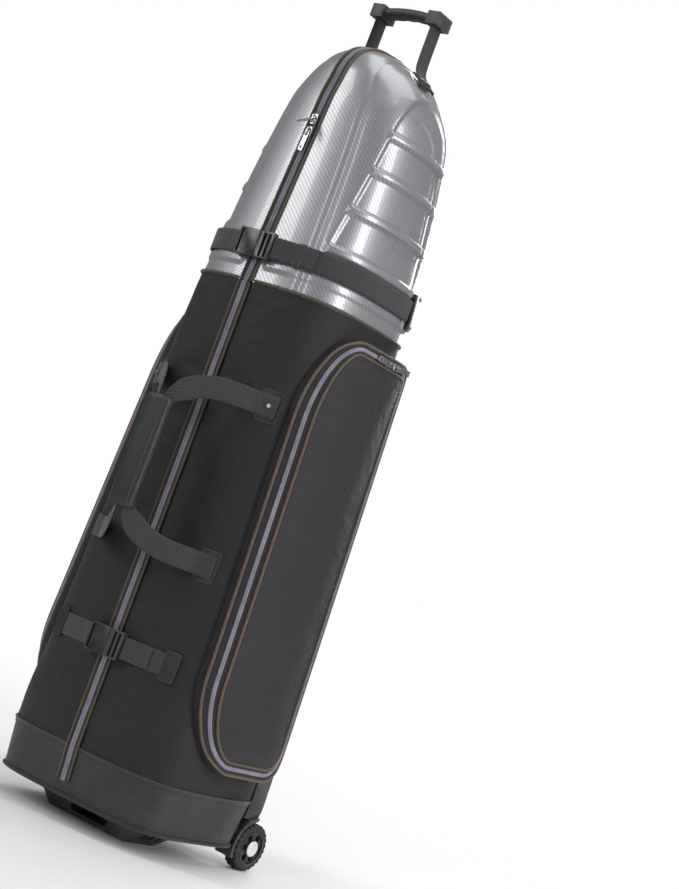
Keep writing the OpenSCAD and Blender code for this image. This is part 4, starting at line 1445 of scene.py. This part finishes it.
@dataclass
class Straps:
    """The two compression straps with their buckles, guides and patches."""

    finishes: Finishes
    thick: float = 2.3

    def band(self, name: str, form: Form, z: float, side: Side, x_start: float, x_end: float,
             back: bool, rise: float, out: float, width: float) -> bpy.types.Object:
        """Webbing that lies round a form at one height.

        Args:
            name: the piece's name.
            form: the form that it lies on.
            z: height of its middle.
            side: which side it is on.
            x_start: where it starts at the front.
            x_end: where it ends, at the front or at the back.
            back: whether it runs right round to the back.
            rise: how far it lifts off at its start, where it enters the buckle.
            out: how far its middle lies off the form.
            width: its width.

        Returns:
            The strap.
        """
        start = float(form.phi_at_x(x_start, z, out))
        end = float(form.phi_at_x(x_end, z, out))
        end = math.pi - end if back else end
        phi = np.linspace(start, end, 400)
        path = resample(form.point(phi, z, out), 170 if back else 60)
        lift = unit(np.stack([path[:, 0], path[:, 1] * 1.3, np.zeros(len(path))], axis=1))
        tangent = heading(path)
        lift = unit(lift - (lift * tangent).sum(axis=1, keepdims=True) * tangent)
        run = lengths(path)
        path = path + lift * (rise * smoothstep((34 - run) / 34))[:, None]
        tangent = heading(path)
        lift = unit(np.cross(tangent, np.broadcast_to([0, 0, 1.0], path.shape)))
        lift *= np.sign((lift * path).sum(axis=1, keepdims=True))
        across = np.broadcast_to([0, 0, 1.0], path.shape)
        return Kit.sweep(name, side.mirror(path), across, side.mirror(lift),
                         Kit.flat_section(width, self.thick))

    def patch(self, name: str, x0: float, x1: float, z: float, half: float, side: Side,
              out: float = 2.9) -> bpy.types.Object:
        """A sewn patch with rounded corners on the body's front corner."""
        u = np.linspace(-1, 1, 17)[:, None]
        v = np.linspace(-1, 1, 21)[None]
        zz = z + v * half * (1 - 0.07 * np.abs(u) ** 6)
        x = (x0 + x1) / 2 + u * (x1 - x0) / 2 * (1 - 0.07 * np.abs(v) ** 6)
        x, zz = np.broadcast_arrays(x, zz)
        points = BODY.point(BODY.phi_at_x(x, zz, out), zz, out)
        obj = Kit.sheet(name, side.mirror(points), np.stack([x, zz], axis=-1),
                        flip=side is Side.LEFT)
        Kit.thicken(obj, 2.4)
        return obj

    def cross_box(self, x0: float, x1: float, z: float, half: float, side: Side,
                  out: float) -> list:
        """The seams of a sewn box with a cross, on the body's front corner."""
        corners = [(x0, z - half), (x1, z - half), (x1, z + half), (x0, z + half)]
        pairs = [(0, 1), (1, 2), (2, 3), (3, 0), (0, 2), (1, 3)]
        lines = []
        for a, b in pairs:
            share = np.linspace(0, 1, 20)[:, None]
            flat = np.array(corners[a]) * (1 - share) + np.array(corners[b]) * share
            points = BODY.point(BODY.phi_at_x(flat[:, 0], flat[:, 1], out), flat[:, 1], out)
            lines.append(side.mirror(points))
        return lines

    @staticmethod
    def give_slack(strap: bpy.types.Object, plug: str, body: str) -> None:
        """Bakes a strap's place into its mesh."""
        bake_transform(strap)

    def build(self) -> None:
        """Makes both straps and everything sewn or clipped to them."""
        f = self.finishes
        web = SIZE.webbing
        for side in Side:
            word = side.word
            strap = self.band(f"upper_webbing_{word}", TOP, SIZE.strap_z, side, 30, 14, True, 6.5,
                              4.6, web - 1)
            Kit.dress(strap, f.webbing, "webbing", None, f"upper_strap_{word}")
            if side is Side.RIGHT:
                self.give_slack(strap, "upper_plug", side.top)
            else:
                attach(strap, side.top)
            low = self.band(f"lower_webbing_{word}", BODY, SIZE.low_strap_z, side, 30, 128, False,
                            6.0, 3.2, web - 1)
            Kit.dress(low, f.webbing, "webbing")
            if side is Side.LEFT:
                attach(low, "root")
                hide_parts("lower_straps")
            else:
                self.give_slack(low, "lower_plug", "root")
            patch = self.patch(f"lower_strap_patch_{word}", 106, 131, SIZE.low_strap_z, 23.5, side,
                               5.6)
            Kit.dress(patch, f.patch, "wrap", "root")
            seams = self.cross_box(109, 128, SIZE.low_strap_z, 19, side, 6.0)
            for sign in (-1, 1):
                level = SIZE.carry_z + sign * SIZE.carry_span / 2
                sewn = self.patch(f"carry_patch_{'upper' if sign > 0 else 'lower'}_{word}", 100,
                                  130, level, 25, side, 3.0)
                Kit.dress(sewn, f.patch, "wrap", "root")
                if side is Side.LEFT and sign < 0:
                    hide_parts("strap_patches")
                seams += self.cross_box(104, 126, level, 19, side, 6.7)
            sewing = Kit.stitches(f"patch_stitches_{word}", seams, 3.4, 2.5, 0.36)
            Kit.dress(sewing, f.thread, "black_trim", "root")
            Kit.dress(Kit.softened(f"strap_guide_{word}", f"upper_strap_guide_{word}", 0.8),
                      f.buckle, "buckle", side.top)
            Kit.dress(Kit.softened(f"top_rivets_{word}", f"hard_top_fasteners_{word}", 0.5),
                      f.rivet, "rivet", side.top)
        tail = self.band("upper_strap_tail", TOP, SIZE.strap_z, Side.RIGHT, 34, 104, False, 5.6,
                         7.4, web - 2)
        Kit.dress(tail, f.webbing, "webbing")
        self.give_slack(tail, "upper_plug", "top_right")
        low_tail = self.band("lower_strap_tail", BODY, SIZE.low_strap_z, Side.RIGHT, 34, 84, False,
                             5.6, 5.8, web - 2)
        Kit.dress(low_tail, f.webbing, "webbing")
        self.give_slack(low_tail, "lower_plug", "root")
        for place, body in (("upper", "top_left"), ("lower", "root")):
            Kit.dress(Kit.softened(f"{place}_buckle_socket", f"{place}_clip_socket", 1.3, 3),
                      f.buckle, "buckle", body)
            Kit.dress(Kit.softened(f"{place}_buckle_plug", f"{place}_clip_plug", 1.1, 3),
                      f.buckle, "buckle", f"{place}_plug")
        Kit.dress(Kit.softened("body_rivets", "carry_patch_rivets", 0.6), f.rivet, "rivet", "root")


@dataclass
class CarryHandle:
    """Two webbing loops held together by a stitched cuff, in front of the body."""

    finishes: Finishes
    start_x: float = 97.0
    stand_off: float = 96.0
    half_wide: float = 22.0
    half_deep: float = 12.0
    half_long: float = 87.0
    centre_line: tuple = ((24, 128.5), (54, 126.5), (82, 118.5), (104, 104), (117, 86),
                          (121, 66), (121.5, 30), (121.5, 0))

    @property
    def face_y(self) -> float:
        """Depth of the body's front at the handle's height."""
        return -float(BODY.at(SIZE.carry_z)[1])

    def loop(self, side: Side) -> bpy.types.Object:
        """One webbing loop, from its upper patch through the cuff to its lower patch."""
        flat_y = self.face_y - 4.6
        far = np.array([0.0, self.face_y - self.stand_off])
        near = np.array([self.start_x, flat_y])
        along = (far - near) / np.linalg.norm(far - near)
        half = list(self.centre_line)
        rest = [(p, -q) for p, q in half[-2::-1]]
        level = SIZE.carry_span / 2
        ends = [(-30, level), (-12, level), (4, level)]
        line = spline(ends + half + rest + [(p, -q) for p, q in ends[::-1]], 260)
        p, q = line[:, 0], line[:, 1]
        soft = smoothstep((p + 12) / 26)
        on_face_y = np.array([BODY.point(float(BODY.phi_at_x(near[0] - v, SIZE.carry_z + w, 4.8)),
                                         SIZE.carry_z + w, 4.8)[1] for v, w in zip(p, q)])
        x = near[0] + p * (-(1 - soft) + along[0] * soft)
        y = on_face_y * (1 - soft) + (near[1] + along[1] * np.maximum(p, 0)) * soft
        path = np.stack([x, y, SIZE.carry_z + q], axis=1)
        tangent = heading(path)
        face = np.array([along[1], -along[0], 0.0])
        face = face * np.sign(-face[1])
        front = np.array([0.1, -1.0, 0.0])
        lift = unit(front * (1 - soft)[:, None] + face * soft[:, None])
        lift = unit(lift - (lift * tangent).sum(axis=1, keepdims=True) * tangent)
        across = np.cross(lift, tangent)
        width = np.interp(np.abs(q), [0, 84, 108, 400], [17, 17, 35, 35])
        section = np.stack([Kit.flat_section(w, 2.3) for w in width])
        return Kit.sweep(f"carry_loop_{side.word}", side.mirror(path), side.mirror(across),
                         side.mirror(lift), section)

    def cuff(self) -> list:
        """The padded cuff, its rows of stitches and the seam where it closes."""
        mid = np.array([0.0, self.face_y - self.stand_off + 7, SIZE.carry_z])
        count = 60
        turn = np.linspace(0, 2 * np.pi, count, endpoint=False)
        power = 3.2
        cos, sin = np.cos(turn), np.sin(turn)
        r = reach(cos, sin, self.half_wide, self.half_deep, power)
        ring = np.stack([r * cos, r * sin], axis=1)
        z = spline([(-self.half_long,), (-60,), (0,), (60,), (self.half_long,)], 90)[:, 0]
        end = np.abs(z) / self.half_long
        swell = 1 + 0.05 * np.cos(z / self.half_long * np.pi / 2) - 0.10 * np.clip(
            (end - 0.95) / 0.05, 0, 1) ** 2
        section = ring[None] * swell[:, None, None]
        path = np.stack([np.full(90, mid[0]), np.full(90, mid[1]), mid[2] + z], axis=1)
        across = np.broadcast_to([1.0, 0, 0], path.shape)
        lift = np.broadcast_to([0, 1.0, 0], path.shape)
        body = Kit.sweep("carry_cuff", path, across, lift, section)
        seams = []
        for level in (-self.half_long + 5, self.half_long - 5):
            around = looped(ring) * 1.02
            seams.append(np.stack([around[:, 0], mid[1] + around[:, 1],
                                   np.full(count + 1, mid[2] + level)], axis=1))
        for x in (-self.half_wide + 4.5, self.half_wide - 4.5):
            run = np.linspace(-self.half_long + 5, self.half_long - 5, 60)
            bulge = 1 + 0.05 * np.cos(run / self.half_long * np.pi / 2)
            seams.append(np.stack([x * bulge, mid[1] - (self.half_deep + 0.1) * bulge,
                                   mid[2] + run], axis=1))
        sewing = Kit.stitches("carry_cuff_stitches", seams, 3.8, 2.8, 0.42)
        run = np.linspace(-self.half_long + 1.5, self.half_long - 1.5, 40)
        flap = np.stack([np.full(40, self.half_wide * 0.2), np.full(40, mid[1] + 12.4),
                         mid[2] + run], axis=1)
        edge = Kit.tube("carry_cuff_edge", flap, 0.9)
        return [body, sewing, edge]

    def build(self) -> None:
        """Makes and dresses the handle."""
        f = self.finishes
        for side in Side:
            loop = self.loop(side)
            Kit.dress(loop, f.webbing, "webbing")
            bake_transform(loop)
            if side is Side.LEFT:
                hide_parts("carry_loops")
        body, sewing, edge = self.cuff()
        Kit.dress(body, f.leather, "wrap", "carry_handle", "carry_wrap")
        Kit.dress(sewing, f.cuff_thread, "black_trim", "carry_handle")
        Kit.dress(edge, f.leather, "wrap", "carry_handle")


@dataclass
class TopHandle:
    """The arched grip on top, its end caps, straps and riveted patches."""

    finishes: Finishes
    radius: float = 262.0
    half_grip: float = 45.0

    def grip(self) -> bpy.types.Object:
        """The arched grip bar with soft finger swells underneath."""
        x = np.linspace(-self.half_grip, self.half_grip, 70)
        z = SIZE.grip_z - 258 + np.sqrt(self.radius ** 2 - x ** 2)
        path = np.stack([x, np.zeros(70), z], axis=1)
        tangent = heading(path)
        across = np.broadcast_to([0, 1.0, 0], path.shape)
        lift = np.cross(tangent, across)
        lift *= np.sign(lift[:, 2:])
        turn = np.linspace(0, 2 * np.pi, 28, endpoint=False)
        c, s = np.cos(turn), np.sin(turn)
        r = reach(c, s, 15.0, 7.6, 2.8)
        ring = np.stack([r * c, r * s], axis=1)
        section = np.broadcast_to(ring, (70,) + ring.shape).copy()
        swell = 1 + 0.07 * np.cos(x / 11.2 * np.pi)
        section[..., 1] *= np.where(section[..., 1] < 0, swell[:, None], 1.0)
        return Kit.sweep("top_grip_bar", path, across, lift, section)

    def strap(self, side: Side) -> bpy.types.Object:
        """The webbing from the grip's end down to the patch on the crown."""
        base = SIZE.apex_z - 17
        line = spline([(56, SIZE.grip_z + 1), (56, SIZE.grip_z - 30), (56.5, base + 22),
                       (59, base + 6), (66, base - 3), (76, base - 10.5)], 60)
        path = np.stack([line[:, 0], np.zeros(60), line[:, 1]], axis=1)
        tangent = heading(path)
        across = np.broadcast_to([0, 1.0, 0], path.shape)
        lift = np.cross(tangent, across)
        lift *= np.sign(lift[:, :1] + 1e-6)
        return Kit.sweep(f"top_handle_strap_{side.word}", side.mirror(path), across,
                         side.mirror(lift), Kit.flat_section(31, 2.4))

    def build(self) -> None:
        """Makes and dresses the handle."""
        f = self.finishes
        Kit.dress(self.grip(), f.grip, "grip", "root", "top_grip")
        Kit.dress(Kit.softened("grip_end_caps", "grip_end_fittings", 1.6, 3),
                  f.grip, "grip", "root")
        for side in Side:
            strap = self.strap(side)
            Kit.dress(strap, f.webbing, "webbing")
            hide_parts(f"top_strap_{side.word}")
            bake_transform(strap)
            Kit.dress(Kit.softened(f"handle_patch_{side.word}", f"crown_patch_{side.word}", 0.8),
                      f.patch, "wrap", side.top)


# ------------------------------------------------------------------ base


@dataclass
class Base:
    """The stand foot, wheel corners and wheels."""

    finishes: Finishes
    wheel_x: float = 149.0
    wheel_y: float = 160.0
    radius: float = 39.0
    width: float = 27.0

    def tyre(self, side: Side) -> bpy.types.Object:
        """The tyre with its raised tread blocks."""
        count = 240
        turn = np.linspace(0, 2 * np.pi, count, endpoint=False)
        half = self.width / 2
        profile = [(-half + 1.0, 28.3), (-half + 0.6, 31), (-half + 1.2, 34.5), (-half + 3.4, 36.9),
                   (-half + 6.2, 37.2), (-2.2, 37.3), (-1.2, 36.2), (1.2, 36.2), (2.2, 37.3),
                   (half - 6.2, 37.2), (half - 3.4, 36.9), (half - 1.2, 34.5), (half - 0.6, 31),
                   (half - 1.0, 28.3)]
        ring = np.array(profile)
        grow = np.zeros((count, len(ring)))
        wave = np.sin(turn * 24)
        block = smoothstep((wave + 0.25) / 0.5)
        offset = smoothstep((-wave + 0.25) / 0.5)
        for k, (x, r) in enumerate(profile):
            if r > 33 and abs(x) > 1.5:
                grow[:, k] = 1.6 * (block if x < 0 else offset)
        centre = np.stack([np.zeros(count), np.cos(turn), np.sin(turn)], axis=1)
        path = np.stack([np.full(count, self.wheel_x * side.value), np.full(count, self.wheel_y),
                         np.full(count, self.radius)], axis=1)
        across = np.broadcast_to([1.0, 0, 0], path.shape)
        section = np.stack([np.broadcast_to(ring[:, 0], grow.shape), ring[:, 1] + grow], axis=-1)
        points = path[:, None] + section[..., :1] * across[:, None] + (
            section[..., 1:] * centre[:, None])
        points = np.concatenate([points, points[:, :1]], axis=1)
        points = np.concatenate([points, points[:1]])
        obj = Kit.sheet(f"wheel_tyre_{side.word}", points)
        Kit.outward(obj)
        Kit.smooth(obj, 40)
        return obj

    def build(self) -> None:
        """Makes and dresses the base."""
        f = self.finishes
        Kit.dress(Kit.softened("stand_foot", "stand_foot_moulding", 1.8, 3),
                  f.moulded, "moulded", "root")
        Kit.dress(Kit.softened("wheel_housings", "wheel_corner_mouldings", 1.2, 2),
                  f.moulded, "moulded", "root")
        for node, finish, slot in (("base_board", f.moulded, "moulded"),
                                   ("base_screws", f.rivet, "rivet"), ("axles", f.steel, "steel")):
            Kit.dress(Kit.softened(node, f"{node}_finished", 0.4), finish, slot, "root")
        for side in Side:
            body = f"wheel_{side.word}"
            Kit.dress(self.tyre(side), f.rubber, "tyre", body, f"tyre_{side.word}")
            Kit.dress(Kit.softened(f"hub_{side.word}", f"wheel_hub_{side.word}", 0.8),
                      f.hub, "hub", body)
            Kit.dress(Kit.softened(f"hub_cap_{side.word}", f"wheel_cap_{side.word}", 0.6),
                      f.cap, "cap", body)


# ------------------------------------------------------------------ studio


@dataclass
class Studio:
    """The floor, lights, surroundings and camera."""

    azimuth: float = 36.51
    elevation: float = -4.042
    roll: float = 20.383
    distance: float = 3.0188
    lens: float = 76.47
    aim_right: float = 0.1325
    aim_height: float = 0.6902
    fill: float = 0.24
    floor_radius: float = 2.4
    lamps: tuple = (
        ("key_panel", (-2.2, -3.0, 2.6), (0, 0, 0.8), 1.4, 2.6, 62),
        ("side_panel", (3.2, 0.5, 1.5), (0, 0, 0.8), 1.0, 3.0, 75),
        ("front_strip", (0.9, -3.2, 1.2), (0, 0, 0.9), 0.35, 3.0, 22),
        ("top_panel", (0.4, 0.2, 4.2), (0, 0, 1.0), 3.0, 3.0, 60),
        ("back_panel", (-1.2, 3.4, 2.0), (0, 0, 0.8), 2.0, 2.4, 55),
    )

    def build_floor(self) -> None:
        """A pale, plain floor that fades into the surround."""
        Kit.clear()
        bpy.ops.mesh.primitive_circle_add(vertices=96, radius=self.floor_radius,
                                          fill_type="NGON", location=(0, 0, 0))
        floor = bpy.context.object
        floor.name = "studio_floor"
        p = Paint("pale_floor")
        mottled = p.noise(3.0, 2)
        colour = p.blend(p.span(mottled, 0.3, 0.7, 0, 1), (0.90, 0.90, 0.905), (0.87, 0.87, 0.88))
        away = p.node("ShaderNodeVectorMath", {0: p.place()}, operation="LENGTH").outputs[1]
        near = p.node("ShaderNodeMapRange", {
            "Value": away, "From Min": self.floor_radius * 0.15,
            "From Max": self.floor_radius * 0.9, "To Min": 1.0, "To Max": 0.0},
            interpolation_type="SMOOTHSTEP").outputs[0]
        p.feed(near, p.shader.inputs["Alpha"])
        floor.data.materials.append(p.finish(colour, 0.7))

    def build_lights(self) -> None:
        """Soft panels and a pale surround."""
        for name, place, aim, wide, tall, power in self.lamps:
            light = bpy.data.lights.new(name, "AREA")
            light.shape, light.size, light.size_y, light.energy = "RECTANGLE", wide, tall, power
            lamp = bpy.data.objects.new(name, light)
            bpy.context.scene.collection.objects.link(lamp)
            lamp.location = place
            lamp.rotation_euler = (Vector(aim) - Vector(place)).to_track_quat(
                "-Z", "Y").to_euler()
        world = bpy.data.worlds.new("pale_surround")
        bpy.context.scene.world = world
        world.use_nodes = True
        tree = world.node_tree
        soft = tree.nodes["Background"]
        soft.inputs[0].default_value, soft.inputs[1].default_value = (0.95, 0.96, 1, 1), self.fill
        white = tree.nodes.new("ShaderNodeBackground")
        white.inputs[0].default_value, white.inputs[1].default_value = (1, 1, 1, 1), 1.0
        mix = tree.nodes.new("ShaderNodeMixShader")
        seen = tree.nodes.new("ShaderNodeLightPath").outputs["Is Camera Ray"]
        tree.links.new(seen, mix.inputs[0])
        tree.links.new(soft.outputs[0], mix.inputs[1])
        tree.links.new(white.outputs[0], mix.inputs[2])
        tree.links.new(mix.outputs[0], tree.nodes["World Output"].inputs[0])
        bpy.context.scene.view_settings.view_transform = "Standard"

    def build_camera(self) -> None:
        """The camera, tilted as a product view is."""
        az, el, roll = (math.radians(v) for v in (self.azimuth, self.elevation, self.roll))
        right = Vector((math.cos(az), math.sin(az), 0))
        back = Vector((math.sin(az) * math.cos(el), -math.cos(az) * math.cos(el), math.sin(el)))
        up = back.cross(right)
        aim = right * self.aim_right + Vector((0, 0, self.aim_height))
        x_axis = right * math.cos(roll) + up * math.sin(roll)
        y_axis = up * math.cos(roll) - right * math.sin(roll)
        data = bpy.data.cameras.new("case_camera")
        data.lens, data.sensor_width, data.sensor_fit = self.lens, 36, "AUTO"
        data.clip_end = 60
        cam = bpy.data.objects.new("case_camera", data)
        bpy.context.scene.collection.objects.link(cam)
        place = aim + back * self.distance
        matrix = cam.matrix_world.copy()
        for row in range(3):
            matrix[row][0], matrix[row][1] = x_axis[row], y_axis[row]
            matrix[row][2], matrix[row][3] = back[row], place[row]
        cam.matrix_world = matrix
        bpy.context.scene.camera = cam


def main() -> None:
    """Builds the studio and every sub-assembly in order."""
    logging.basicConfig(level=logging.INFO, format="%(message)s")
    studio = Studio()
    studio.build_camera()
    studio.build_floor()
    studio.build_lights()
    finishes = Finishes()
    for side in Side:
        HardTop(side, finishes).build()
    zips = MainZip(finishes)
    zips.build_body()
    zips.build_pulls()
    body = SoftBody(finishes)
    body.build_walls()
    body.build_band()
    for side in Side:
        SidePocket(side, finishes).build()
    Straps(finishes).build()
    CarryHandle(finishes).build()
    TopHandle(finishes).build()
    Base(finishes).build()


if __name__ == "__main__":
    main()
